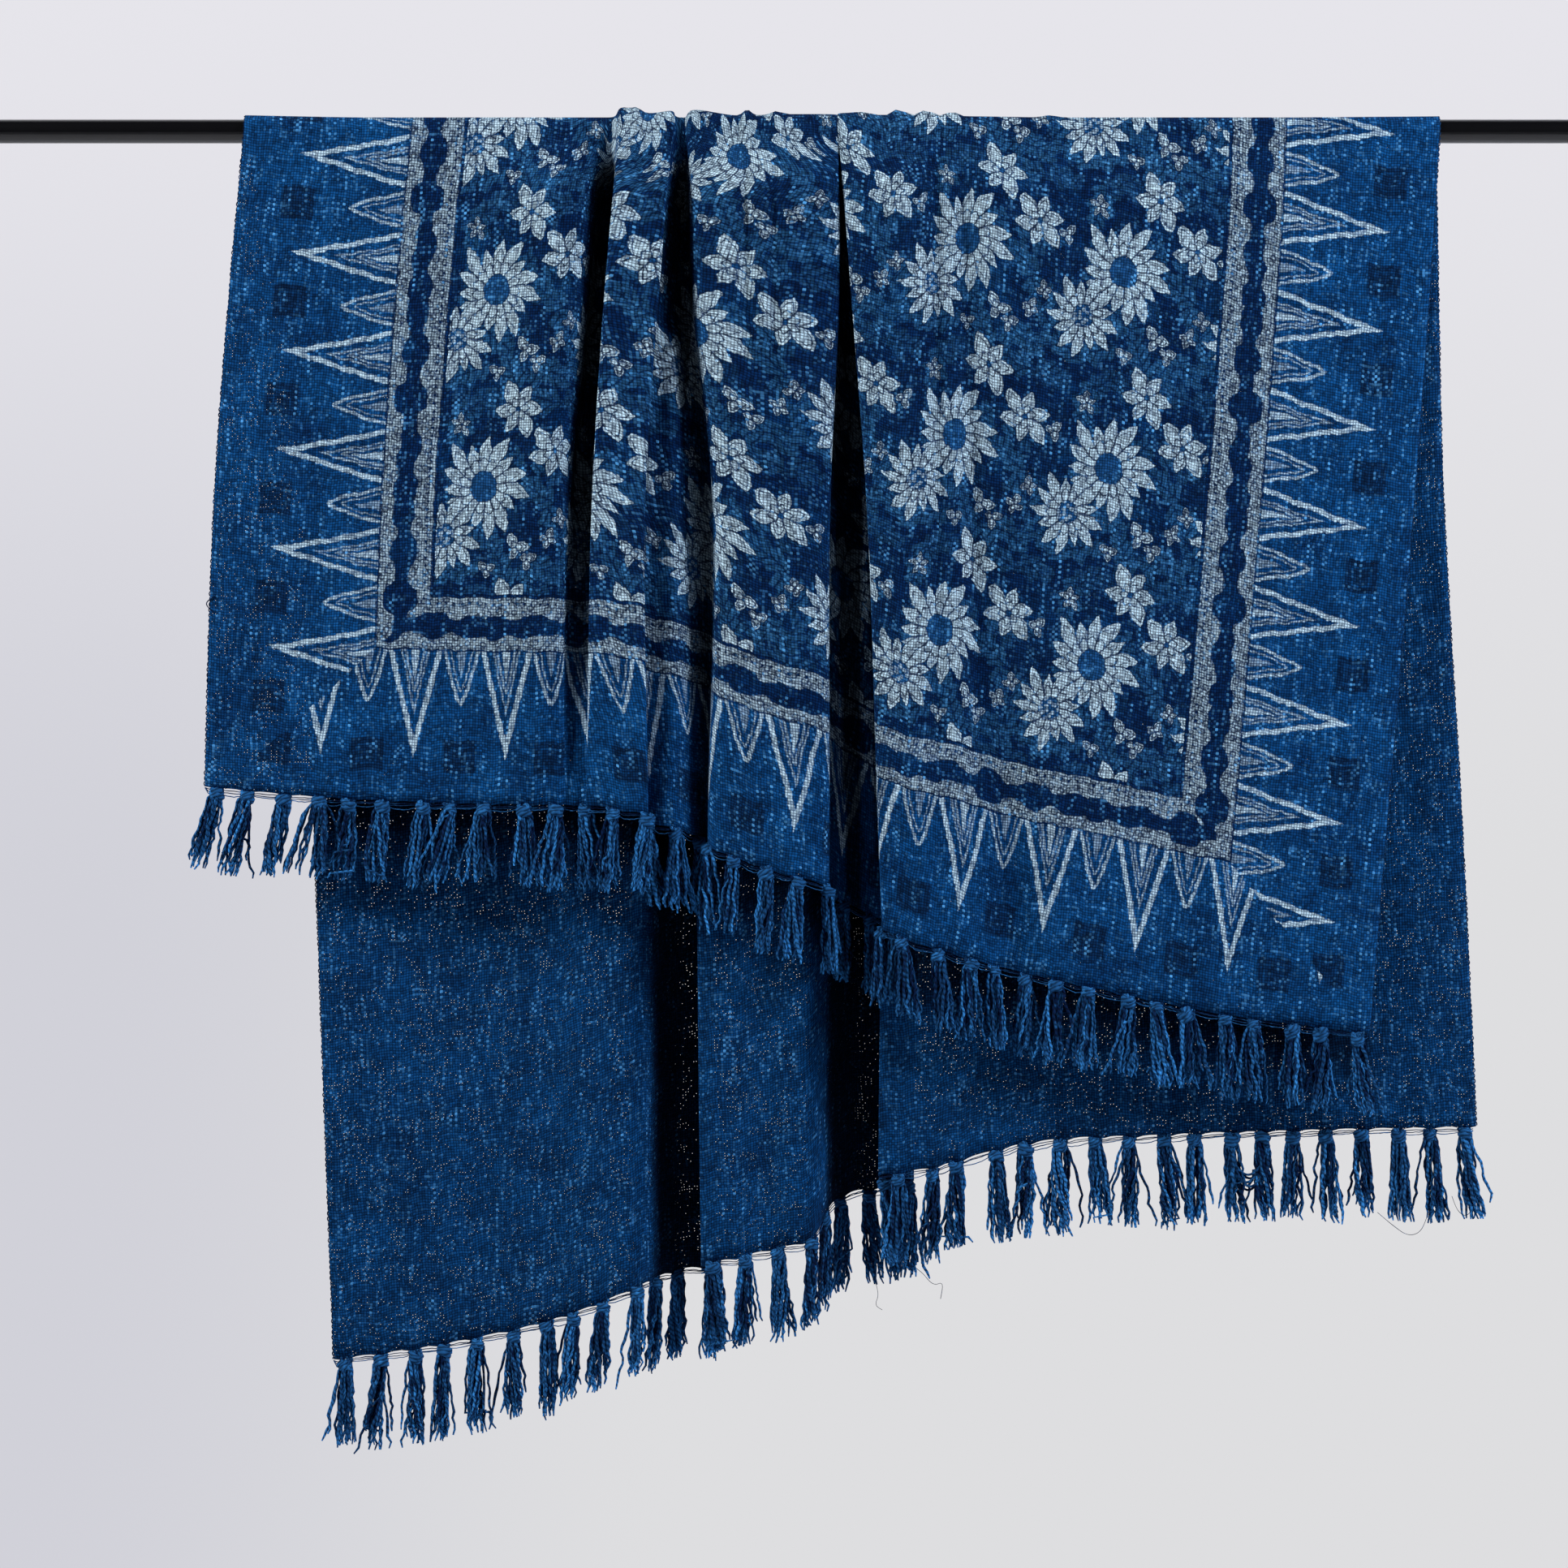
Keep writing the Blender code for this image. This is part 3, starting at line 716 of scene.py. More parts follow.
dye = {
    "paint": "#C1DFF2",      # where the resist kept the dye out
    "halfDye": "#2C6699",    # leaves, dyed once
    "disc": "#1B4F86",
    "square": "#07284F",     # dim squares along the margin
    "creep": 2.6,            # how far printed edges stray
    "threadCreep": 0.8,      # and how much more from one crossing to the next
    "threads": (0.0, 0.3, 0.72, 1.0),   # a crossing's chance from and to, paint from and to
    "ditches": (0.2, 0.7, 0.35, 1.0),   # height from and to, paint from and to
    "patches": (-0.14, -0.02, 0.5, 1.0),  # noise from and to, paint from and to
    "fills": 0.7,            # how far paint fills the ditches between threads, taking away their painted shade
}

# How fully a colour covers the ground
cover = {"halfDye": 0.55, "disc": 0.8, "square": 0.95}

# Each face of the cloth: how much of its threads' tones it shows, from what and up to
# what lift in the field, how much of their slubs, its colours and its painted shade.
faces = {
    True: {"tones": 1.45, "darker": -1.02, "lift": 0.67, "slubs": 0.68, "ends": ("deepGround", "ground"),
           "shade": "outerShade"},
    False: {"tones": 1.2, "darker": -0.845, "lift": 0.5, "slubs": 0.5, "ends": ("reverseDeep", "reverse"),
            "shade": "innerShade"},
}

# One block of the field: flowers and leaves by place from the block's big flower
# (across, along), both in the cloth's own millimetres.
block = {"width": 147.5, "length": 181.0, "firstAcross": 986 - 5 * 147.5, "firstAlong": 292}

# Place, petal reach, petals, disc, notch between petals, turn, pips in the disc
flowers = {
    "companion": ((-35, -46), 40, 13, 10.5, 0.36, 0.3, 1.0),
    "big flower": ((0, 0), 51, 15, 14.0, 0.30, 0.1, 0.0),
    "star above": ((30, 71), 29, 6, 2.4, 0.46, 0.4, 0.0),
    "star beside": ((67, 33), 29, 6, 2.4, 0.46, 0.1, 0.0),
    "bud above": ((-25, 57), 11.5, 5, 0.8, 0.55, 0.2, 0.0),
    "upper side bud": ((76, -29), 9.5, 4, 0.5, 0.55, 0.5, 0.0),
    "lower side bud": ((64, -48), 10.5, 4, 0.5, 0.55, 1.1, 0.0),
    "bud below": ((6, -76), 10, 3, 0.5, 0.65, 0.5, 0.0),
    "bud beside": ((-54, 27), 11, 3, 0.5, 0.65, 2.2, 0.0),
    "sprig": ((34, -56), 15, 3, 0.5, 0.72, 0.9, 0.0),
    "sprig tip": ((45, -67), 11, 3, 0.5, 0.70, 2.6, 0.0),
}

# How every flower is drawn
petal = {
    "narrow": 1.1,           # heads are this much narrower across the cloth
    "bend": 0.006,           # petals' bend to one side on their way out, radians a mm
    "reach": 0.91,           # of a petal, as a share of its head's
    "uneven": 0.13,          # and how far that varies
    "collar": 0.17,          # line round the petals' feet, as a share of the reach
    "rim": 0.15,             # line inside their edge, the same
    "line": (0.4, 1.15),     # distances at which a line of dye fades out
    "lineTone": 0.10,        # how light a line is
    "pips": 0.2,             # in a disc, to a millimetre
    "pipSize": 0.4,
}

# Half-dyed leaves lie between the flowers at every angle.
foliage = {
    "spacing": 33.0,
    "halfLength": 28.0,
    "halfWidth": 12.0,
    "teeth": 0.28,
    "ribs": 3.8,             # from rib to rib
    "slant": 0.8,
    "line": (0.5, 1.5),      # distances at which a rib fades out
}

border = {
    "shift": 13,             # the print lies this far to the right on the cloth
    "toothFoot": 140,        # from the cloth's edge to the feet of the teeth
    "bandMiddle": 163,
    "bandEnd": 190,
    "sideSpacing": 91,
    "leftFirst": 135,
    "rightFirst": 99,
    "endSpacing": 85.8,
    "endFirst": 105,
    "discSpacing": 184.5,
    "sideDisc": 187,
    "endDisc": 163,
    "squareMiddle": 43,
    "squareHalf": 15,
    "dotSpacing": 7.5,
    "dotReach": 0.9,
    "dotsBefore": 6,         # from the band's end
    "rosettes": 0.14,        # in the strips, to a millimetre
    "rosetteLine": (0.04, 0.15, 0.15, 1.0),  # distance from and to, paint from and to
    "stripPaint": 0.7,
    "ring": 0.55,            # in a square, as a share of its half
}

# Teeth: midway between the big ones or not, height, half foot, stroke, arch of its
# sides (1 is straight), paint
teeth = {
    "big tooth": (False, 100, 25, 4.9, 1.0, 0.95),
    "inner line": (False, 60, 13.5, 1.8, 1.0, 0.6),
    "big spike": (False, 40, 10.0, 2.2, 0.75, 0.55),
    "spike core": (False, 30, 4.2, 99, 0.8, 0.85),
    "small tooth": (True, 50, 17, 3.2, 0.66, 0.8),
    "small inner line": (True, 37, 11, 1.5, 0.66, 0.6),
    "small spike": (True, 24, 5.0, 99, 0.8, 0.4),
}

# Half widths of the dark band along one repeat, towards the edge and inwards:
# share of the repeat, millimetres.
bandOutwards = (
    (0.0, 9), (0.06, 12), (0.12, 8), (0.2, 11), (0.27, 7), (0.33, 8), (0.4, 6), (0.44, 14),
    (0.5, 16.5), (0.56, 14), (0.6, 7), (0.66, 7), (0.72, 12.5), (0.78, 10), (0.83, 6), (0.9, 11), (1.0, 9),
)
bandInwards = (
    (0.0, 7), (0.07, 11), (0.14, 6), (0.2, 9), (0.28, 12), (0.34, 7), (0.41, 6), (0.45, 12.5),
    (0.5, 15), (0.55, 12.5), (0.6, 6), (0.66, 8), (0.72, 13), (0.79, 12), (0.84, 6), (0.92, 10), (1.0, 7),
)
bandReach = 20

# Sockets of the node groups that aren't plain numbers
socketKinds = {
    "NodeSocketVector": ("place",),
    "NodeSocketInt": ("sides", "yarns", "yarnSteps", "seed"),
    "NodeSocketMaterial": ("material",),
    "NodeSocketGeometry": ("lines", "laid", "roots", "tassels"),
}


def makeGroup(name, ins, outs, kind="ShaderNodeTree"):
    # A node group with nothing but its sockets: returns it, what it is given, and the
    # two functions that add nodes to it.
    group = bpy.data.node_groups.new(name, kind)
    kinds = {socket: socketKind for socketKind, names in socketKinds.items() for socket in names}
    for socket in (*ins, *outs):
        group.interface.new_socket(
            name=socket, in_out="OUTPUT" if socket in outs else "INPUT",
            socket_type=kinds.get(socket, "NodeSocketFloat"),
        )
    add, chain = toolsFor(group)
    return group, add("NodeGroupInput"), add, chain


def makeFlowerGroup():
    # A printed flower head: pale pointed petals, drawn round with thin lines of dye,
    # about a bare disc. Every length is a millimetre.
    ins = ("place", "reach", "petals", "bare", "notch", "turn", "pips")
    group, given, add, chain = makeGroup("flower print", ins, ("paint", "cover", "disc"))
    place = chain(given["place"], "VectorMath MULTIPLY", (petal["narrow"], 1.0, 1.0))
    reach = add("VectorMath", place, operation="LENGTH")["Value"]
    x, y, _ = add("SeparateXYZ", place)
    angle = chain(y, "ARCTAN2", x, "ADD", given["turn"])
    angle = chain(reach, "MULTIPLY_ADD", petal["bend"], angle)
    perTurn = chain(given["petals"], "DIVIDE", 2 * math.pi)
    sector = chain(angle, "MULTIPLY", perTurn)
    joint = chain(sector, "PINGPONG", 0.5)
    tip = chain(
        sector, "FLOOR", "MULTIPLY_ADD", 4.1, given["petals"], "SINE",
        "MULTIPLY_ADD", petal["uneven"], petal["reach"], "MULTIPLY", given["reach"],
    )
    inside = chain(
        joint, "MULTIPLY_ADD", -2.0, 1.0, "POWER", 1.05, "MULTIPLY", given["notch"],
        "MULTIPLY_ADD", -1.0, 1.0, "MULTIPLY", tip, "SUBTRACT", reach,
    )
    outOfDisc = chain(reach, "SUBTRACT", given["bare"])
    petals = chain(outOfDisc, "SUBTRACT", 0.6, "MINIMUM", inside, "clamped MULTIPLY_ADD", 1.0, 0.5)
    # Lines between petals, round the middle of each petal's foot, and along its rim
    seam = chain(reach, "DIVIDE", perTurn, "MULTIPLY", joint)
    collar = chain(joint, "MULTIPLY", -8.0, "ADD", outOfDisc)
    seam = chain(given["reach"], "MULTIPLY_ADD", -petal["collar"], collar, "ABSOLUTE", "MINIMUM", seam)
    paint = chain(
        given["reach"], "MULTIPLY_ADD", -petal["rim"], inside, "ABSOLUTE", "MINIMUM", seam,
        "MapRange", *petal["line"], petal["lineTone"], 1.0, "MULTIPLY", petals,
    )
    cover = chain(inside, "clamped MULTIPLY_ADD", 0.8, 1.6)
    disc = chain(outOfDisc, "clamped MULTIPLY_ADD", -1.0, 0.3)
    pips = add("TexVoronoi", voronoi_dimensions="2D", inputs={
        "Vector": given["place"], "Scale": petal["pips"]})["Distance"]
    paint = chain(
        petal["pipSize"], "LESS_THAN", pips, "MULTIPLY_ADD", -1.0, 1.0, "MULTIPLY", given["pips"],
        "MULTIPLY", disc, "MULTIPLY_ADD", 0.6, paint,
    )
    add("NodeGroupOutput", paint, cover, disc)
    return group


def makeLeafGroup():
    # A pointed leaf with a toothed edge, thin lines of dye down its middle and along
    # its ribs.
    group, given, add, chain = makeGroup("leaf print", ("place", "turn"), ("body",))
    turned = add(
        "VectorRotate", rotation_type="Z_AXIS",
        inputs={"Vector": given["place"], "Angle": given["turn"]},
    )[0]
    x, y, _ = add("SeparateXYZ", turned)
    share = chain(x, "MULTIPLY", 1 / foliage["halfLength"])
    roundness = chain(share, "MULTIPLY", share, "MULTIPLY_ADD", -1.0, 1.0)
    tooth = chain(share, "MULTIPLY", 11.0, "SINE", "MULTIPLY_ADD", foliage["teeth"], 1.0)
    width = chain(roundness, "MULTIPLY", foliage["halfWidth"], "MULTIPLY", tooth)
    off = chain(y, "ABSOLUTE")
    inside = chain(width, "SUBTRACT", off, "clamped MULTIPLY_ADD", 0.8, 0.5)
    body = chain(
        off, "MULTIPLY_ADD", -foliage["slant"], x, "PINGPONG", foliage["ribs"], "MINIMUM", off,
        "MapRange", *foliage["line"], 0.1, 1.0, "MULTIPLY", inside,
    )
    add("NodeGroupOutput", body)
    return group


def makeToothGroup():
    # A pointed tooth drawn as a stroke, or filled where the stroke is wide.
    group, given, add, chain = makeGroup(
        "tooth print", ("aside", "rise", "height", "halfFoot", "stroke", "arch"), ("paint",)
    )
    inside = chain(
        given["rise"], "DIVIDE", given["height"], "clamped MULTIPLY_ADD", -1.0, 1.0,
        "POWER", given["arch"], "MULTIPLY", given["halfFoot"], "SUBTRACT", given["aside"],
    )
    outer = chain(inside, "clamped MULTIPLY_ADD", 1.0, 0.4)
    paint = chain(
        given["stroke"], "SUBTRACT", inside, "clamped MULTIPLY_ADD", 1.0, 0.5, "MULTIPLY", outer,
    )
    paint = chain(given["rise"], "clamped MULTIPLY_ADD", 1.0, 0.5, "MULTIPLY", paint)
    paint = chain(given["height"], "clamped SUBTRACT", given["rise"], "MULTIPLY", paint)
    add("NodeGroupOutput", paint)
    return group


def addNearest(add, chain, place, motifs):
    # Each motif is (place, size, first numbers, last numbers), both numbers being
    # vectors. Returns the place from the nearest motif's middle and its two vectors.
    half = (block["width"] / 2, block["length"] / 2, 1.0)
    nearest, local, first, last = 99.0, (0, 0, 0), (0, 0, 0), (0, 0, 0)
    for (across, along), size, firstNumbers, lastNumbers in motifs:
        here = chain(
            place, "VectorMath SUBTRACT", (across, along, 0.0),
            "VectorMath WRAP", half, tuple(-h for h in half),
        )
        reach = add("VectorMath", here, operation="LENGTH")["Value"]
        reach = chain(reach, "MULTIPLY", 1 / size)
        closer = chain(reach, "LESS_THAN", nearest)
        nearest = chain(reach, "MINIMUM", nearest)
        local, first, last = (
            add("Mix", data_type="VECTOR", inputs={0: closer, 4: old, 5: new})[1]
            for old, new in ((local, here), (first, firstNumbers), (last, lastNumbers))
        )
    first = add("SeparateXYZ", first)
    last = add("SeparateXYZ", last)
    return local, first, last


def makeFieldGroup():
    # The field's block, repeated: paint, half-dyed leaves and discs on the cloth.
    group, given, add, chain = makeGroup("field print", ("place",), ("paint", "halfDye", "disc"))
    first = (block["firstAcross"], block["firstAlong"], 0.0)
    half = (block["width"] / 2, block["length"] / 2, 1.0)
    place = chain(
        given["place"], "VectorMath SUBTRACT", first,
        "VectorMath WRAP", half, tuple(-h for h in half),
    )
    near = add("TexVoronoi", voronoi_dimensions="2D", inputs={
        "Vector": place, "Scale": 1 / foliage["spacing"], "Randomness": 0.9})
    chance = add("SeparateXYZ", near["Color"])
    local = chain(place, "VectorMath SUBTRACT", near["Position"])
    turn = chain(chance[0], "MULTIPLY", 2 * math.pi)
    leaf = add("Group", local, turn, node_tree=makeLeafGroup())[0]
    halfDye = chain(chance[1], "MapRange", 0.15, 0.7, 0.1, 1.0, "MULTIPLY", leaf)
    motifs = [
        (where, reach, (reach, petals, disc), (notch, turn, pips))
        for where, reach, petals, disc, notch, turn, pips in flowers.values()
    ]
    local, (reach, petals, disc), (notch, turn, pips) = addNearest(add, chain, place, motifs)
    head = add("Group", local, reach, petals, disc, notch, turn, pips, node_tree=makeFlowerGroup())
    halfDye = chain(1.0, "SUBTRACT", head["cover"], "MULTIPLY", halfDye)
    add("NodeGroupOutput", head["paint"], halfDye, head["disc"])
    return group


def makeBorderGroup():
    # Everything outside the field: teeth, two pale strips with the dark band
    # between them, and dim squares along the margin.
    group, given, add, chain = makeGroup("border print", ("place",), ("paint", "square", "inwards"))
    x, y, _ = add("SeparateXYZ", given["place"])
    fromLeft = chain(x, "SUBTRACT", border["shift"])
    fromRight = chain(cloth["width"], "SUBTRACT", x)
    fromSide = chain(fromLeft, "MINIMUM", fromRight)
    fromEnd = chain(cloth["length"], "SUBTRACT", y, "MINIMUM", y)
    inwards = chain(fromSide, "MINIMUM", fromEnd)
    atEnd = chain(fromSide, "GREATER_THAN", fromEnd)
    first = chain(
        fromLeft, "GREATER_THAN", fromRight,
        "MULTIPLY_ADD", border["rightFirst"] - border["leftFirst"], border["leftFirst"],
    )
    first = chain(atEnd, "Mix", None, first, border["endFirst"])
    along = chain(atEnd, "Mix", None, y, x)
    spacing = chain(atEnd, "Mix", None, border["sideSpacing"], border["endSpacing"])
    fromBig = chain(along, "SUBTRACT", first, "DIVIDE", spacing, "PINGPONG", 0.5)
    nearSmall = chain(0.5, "SUBTRACT", fromBig)
    fromBig = chain(fromBig, "MULTIPLY", spacing)
    fromSmall = chain(nearSmall, "MULTIPLY", spacing)
    # PINGPONG runs 0, 0.5, 0 over one spacing, so both are distances to a middle.
    rise = chain(border["toothFoot"], "SUBTRACT", inwards)
    toothGroup = makeToothGroup()
    paint = 0.0
    for midway, height, halfFoot, stroke, arch, strength in teeth.values():
        shape = add(
            "Group", fromSmall if midway else fromBig, rise, height, halfFoot, stroke, arch,
            node_tree=toothGroup,
        )[0]
        shape = chain(shape, "MULTIPLY", strength)
        paint = chain(paint, "MAXIMUM", shape)
    # The pale strips end where the dark band's bulges begin.
    firstDisc = chain(atEnd, "Mix", None, border["sideDisc"], border["endDisc"])
    repeat = chain(along, "SUBTRACT", firstDisc, "MULTIPLY_ADD", 1 / border["discSpacing"], 0.5, "FRACT")
    strips = []
    for points, way in ((bandOutwards, -1.0), (bandInwards, 1.0)):
        halfBand = add("FloatCurve", inputs={"Value": repeat})[0]
        curve = halfBand.node.mapping
        for index, (share, halfWidth) in enumerate(points):
            if index in (0, len(points) - 1):
                curve.curves[0].points[-1 if index else 0].location = (share, halfWidth / bandReach)
            else:
                curve.curves[0].points.new(share, halfWidth / bandReach)
        curve.update()
        past = chain(inwards, "SUBTRACT", border["bandMiddle"], "MULTIPLY", way)
        past = chain(halfBand, "MULTIPLY_ADD", -bandReach, past)
        strips.append(chain(past, "clamped MULTIPLY_ADD", 1.0, 0.5))
    strip = chain(strips[0], "MAXIMUM", strips[1])
    start = chain(inwards, "clamped SUBTRACT", border["toothFoot"] + 1.2)
    stop = chain(border["bandEnd"], "clamped SUBTRACT", inwards)
    strip = chain(strip, "MULTIPLY", start, "MULTIPLY", stop)
    dots = chain(along, "PINGPONG", border["dotSpacing"] / 2)
    dotRow = chain(inwards, "SUBTRACT", border["bandEnd"] - border["dotsBefore"])
    dotPlace = add("CombineXYZ", dots, dotRow)[0]
    dots = add("VectorMath", dotPlace, operation="LENGTH")["Value"]
    strip = chain(dots, "clamped SUBTRACT", border["dotReach"], "MULTIPLY", strip)
    # Rosettes of dye within the strips
    spots = add("TexVoronoi", voronoi_dimensions="2D", inputs={
        "Vector": given["place"], "Scale": border["rosettes"]})["Distance"]
    paint = chain(
        spots, "SUBTRACT", 0.33, "ABSOLUTE", "MapRange", *border["rosetteLine"], "MULTIPLY", strip,
        "MULTIPLY", border["stripPaint"], "MAXIMUM", paint,
    )
    # A dim square with a lighter ring in it, midway between two big teeth.
    square = chain(inwards, "SUBTRACT", border["squareMiddle"], "ABSOLUTE", "MAXIMUM", fromSmall)
    ring = chain(
        square, "SUBTRACT", border["squareHalf"] * border["ring"], "ABSOLUTE",
        "clamped MULTIPLY_ADD", 0.4, 0.35,
    )
    square = chain(
        border["squareHalf"], "SUBTRACT", square, "clamped MULTIPLY_ADD", 0.6, 0.5,
        "MULTIPLY", ring,
    )
    add("NodeGroupOutput", paint, square, inwards)
    return group


def makeWeaveGroup():
    # Plain weave of slub yarns at a place on the cloth: how light each thread is, how
    # high it stands, and where a pinhole lies between threads.
    outs = ("slub", "tone", "height", "hole", "crossing")
    group, given, add, chain = makeGroup("hand-loomed weave", ("place",), outs)
    share = chain(given["place"], "VectorMath SCALE", None, None, 1 / weave["pitch"])
    # Threads wander a little, so that the pinholes are no even grid.
    wander = add("TexNoise", noise_dimensions="2D", inputs={
        "Vector": given["place"], "Scale": 0.03, "Detail": 1.0})[1]
    share = chain(
        wander, "VectorMath SUBTRACT", noiseMiddle,
        "VectorMath MULTIPLY_ADD", (weave["wander"], weave["wander"], 0.0), share,
    )
    x, y, _ = add("SeparateXYZ", share)
    warp = chain(x, "FLOOR")
    weft = chain(y, "FLOOR")
    offWarp = chain(x, "PINGPONG", 0.5)
    offWeft = chain(y, "PINGPONG", 0.5)
    warpOver = chain(warp, "ADD", weft, "PINGPONG", 1.0)
    # A thread's slubs are noise along it, with its own row in the noise for each thread.
    lines = []
    for thread, run in ((warp, y), (weft, x)):
        place = chain(thread, "MULTIPLY", 5.17)
        stretched = chain(run, "MULTIPLY", 0.09)
        place = add("CombineXYZ", place, stretched)[0]
        lines.append(add("TexNoise", noise_dimensions="2D", inputs={
            "Vector": place, "Scale": 1.0, "Detail": 1.5, "Roughness": 0.7})[0])
    warpSlub = chain(lines[0], "MapRange", *weave["warpSlubs"])
    weftSlub = chain(lines[1], "MapRange", *weave["weftSlubs"])
    slub = chain(warpOver, "Mix", None, weftSlub, warpSlub)
    tone = chain(warpOver, "Mix", None, lines[1], lines[0])
    # Height: a rounded thread, warp or weft, whichever is on top.
    onWarp = chain(offWarp, "MULTIPLY", 2.0)
    onWeft = chain(offWeft, "MULTIPLY", 2.0)
    onTop = chain(warpOver, "Mix", None, onWeft, onWarp)
    dive = chain(warpOver, "Mix", None, onWarp, onWeft)
    dive = chain(dive, "MapRange", 0.0, 0.5, 0.35, 1.0)
    height = chain(onTop, "POWER", 0.6, "MULTIPLY", dive)
    height = chain(slub, "MULTIPLY_ADD", 0.5, height)
    # Pinholes lie where four threads meet: many of them in the patches where the
    # cloth is loose, a few elsewhere.
    loose = add("TexNoise", noise_dimensions="2D", inputs={
        "Vector": given["place"], "Scale": 0.045, "Detail": 1.5, "Roughness": 0.6})[0]
    loose = chain(loose, "MapRange", *weave["loosePatches"])
    nearest = chain(share, "VectorMath ADD", (0.5, 0.5, 0.0), "VectorMath FLOOR")
    chance = add("TexWhiteNoise", noise_dimensions="2D", inputs={"Vector": nearest})[0]
    hole = chain(chance, "LESS_THAN", loose)
    hole = chain(offWarp, "MAXIMUM", offWeft, "LESS_THAN", weave["pinhole"], "MULTIPLY", hole)
    noise = add("TexNoise", noise_dimensions="2D", inputs={
        "Vector": given["place"], "Scale": 0.02, "Detail": 4.0, "Roughness": 0.6})[0]
    tone = chain(tone, "MULTIPLY_ADD", 0.35, noise)
    crossing = add("CombineXYZ", warp, weft)[0]
    crossing = add("TexWhiteNoise", noise_dimensions="2D", inputs={"Vector": crossing})[0]
    add("NodeGroupOutput", slub, tone, height, hole, crossing)
    return group


def makeClothMaterial(name, isPrinted, weaveGroup, fieldGroup=None, borderGroup=None):
    # Hand-loomed slub cotton dyed with indigo: matt, with coarse threads that catch
    # the light one by one, pale slubs where the dye took less, and pinholes.
    material, add, chain = emptyMaterial(name)
    material.use_transparent_shadow = False
    face = faces[isPrinted]
    place = add("Attribute", attribute_name="cutPlace")["Vector"]
    thread = add("Group", place, node_tree=weaveGroup)
    if isPrinted:
        # Printed edges are ragged: the dye creeps along the threads.
        creep = add("TexNoise", noise_dimensions="2D", inputs={
            "Vector": place, "Scale": 0.18, "Detail": 2.0})[1]
        creep = chain(creep, "VectorMath SUBTRACT", noiseMiddle)
        printPlace = chain(creep, "VectorMath MULTIPLY_ADD", (dye["creep"], dye["creep"], 0.0), place)
        threadCreep = chain(thread["crossing"], "SUBTRACT", 0.5)
        threadCreep = add("CombineXYZ", threadCreep, threadCreep)[0]
        much = (dye["threadCreep"], dye["threadCreep"], 0.0)
        printPlace = chain(threadCreep, "VectorMath MULTIPLY_ADD", much, printPlace)
        field = add("Group", printPlace, node_tree=fieldGroup)
        edge = add("Group", printPlace, node_tree=borderGroup)
        inField = chain(edge["inwards"], "GREATER_THAN", border["bandEnd"] + 3)
        inBand = chain(edge["inwards"], "GREATER_THAN", border["toothFoot"])
        paint = chain(inField, "Mix", None, edge["paint"], field["paint"])
        halfDye = chain(field["halfDye"], "MULTIPLY", inField)
        disc = chain(field["disc"], "MULTIPLY", inField)
        lift = chain(inBand, "MULTIPLY_ADD", -face["lift"], face["lift"])
    else:
        lift = face["lift"]
        paint = 0.0
    lightness = chain(thread["tone"], "MULTIPLY_ADD", face["tones"], face["darker"], "clamped ADD", lift)
    deep, light = (weave[name] for name in face["ends"])
    layers = [(lightness, light)]
    slub = chain(thread["slub"], "MULTIPLY", face["slubs"])
    if isPrinted:
        for name, share in (("halfDye", halfDye), ("disc", disc), ("square", edge["square"])):
            layers.append((chain(share, "MULTIPLY", cover[name]), dye[name]))
        # Paint is thin in places, and some threads took less of it than others.
        took = chain(thread["crossing"], "MapRange", *dye["threads"], "MULTIPLY", paint)
        took = chain(thread["height"], "MapRange", *dye["ditches"], "MULTIPLY", took)
        patchy = chain(add("SeparateXYZ", creep)[2], "MapRange", *dye["patches"])
        layers.append((chain(took, "MULTIPLY", patchy), dye["paint"]))
        slub = chain(1.0, "SUBTRACT", paint, "MULTIPLY", slub)
    colour = linear(deep)
    for share, over in (*layers, (slub, weave["slub"])):
        colour = add("Mix", data_type="RGBA", inputs={0: share, 6: colour, 7: linear(over)})[2]
    # Painted shade darkens the ditches between threads, where little light gets in, and
    # no two crossings are alike.
    ditch = chain(thread["height"], "MapRange", *weave["ditches"])
    ditch = chain(paint, "MULTIPLY", dye["fills"], "MAXIMUM", ditch)
    grain = chain(thread["crossing"], "SUBTRACT", 0.5)
    ditch = chain(paint, "MULTIPLY_ADD", -0.4, 0.9, "MULTIPLY_ADD", grain, 1.0, "MULTIPLY", ditch)
    # Painted shade of the folds, and the painted shadow of the front flap on the back one, darken the
    # colour too.
    shade = add("Attribute", attribute_name=face["shade"])["Fac"]
    ditch = chain(ditch, "MULTIPLY", shade)
    ditch = add("CombineXYZ", ditch, ditch, ditch)[0]
    colour = add("Mix", data_type="RGBA", blend_type="MULTIPLY", inputs={0: 1.0, 6: colour, 7: ditch})[2]
    bump = add("Bump", inputs={
        "Strength": weave["bump"], "Distance": weave["height"] * mm, "Height": thread["height"]})[0]
    shown = chain(1.0, "SUBTRACT", thread["hole"])
    surface = add("BsdfPrincipled", inputs={
        "Base Color": colour, "Roughness": weave["roughness"],
        "Specular IOR Level": weave["gloss"], "Normal": bump, "Alpha": shown})
    add("OutputMaterial", surface[0])
    return material


# Fringe and loose yarns

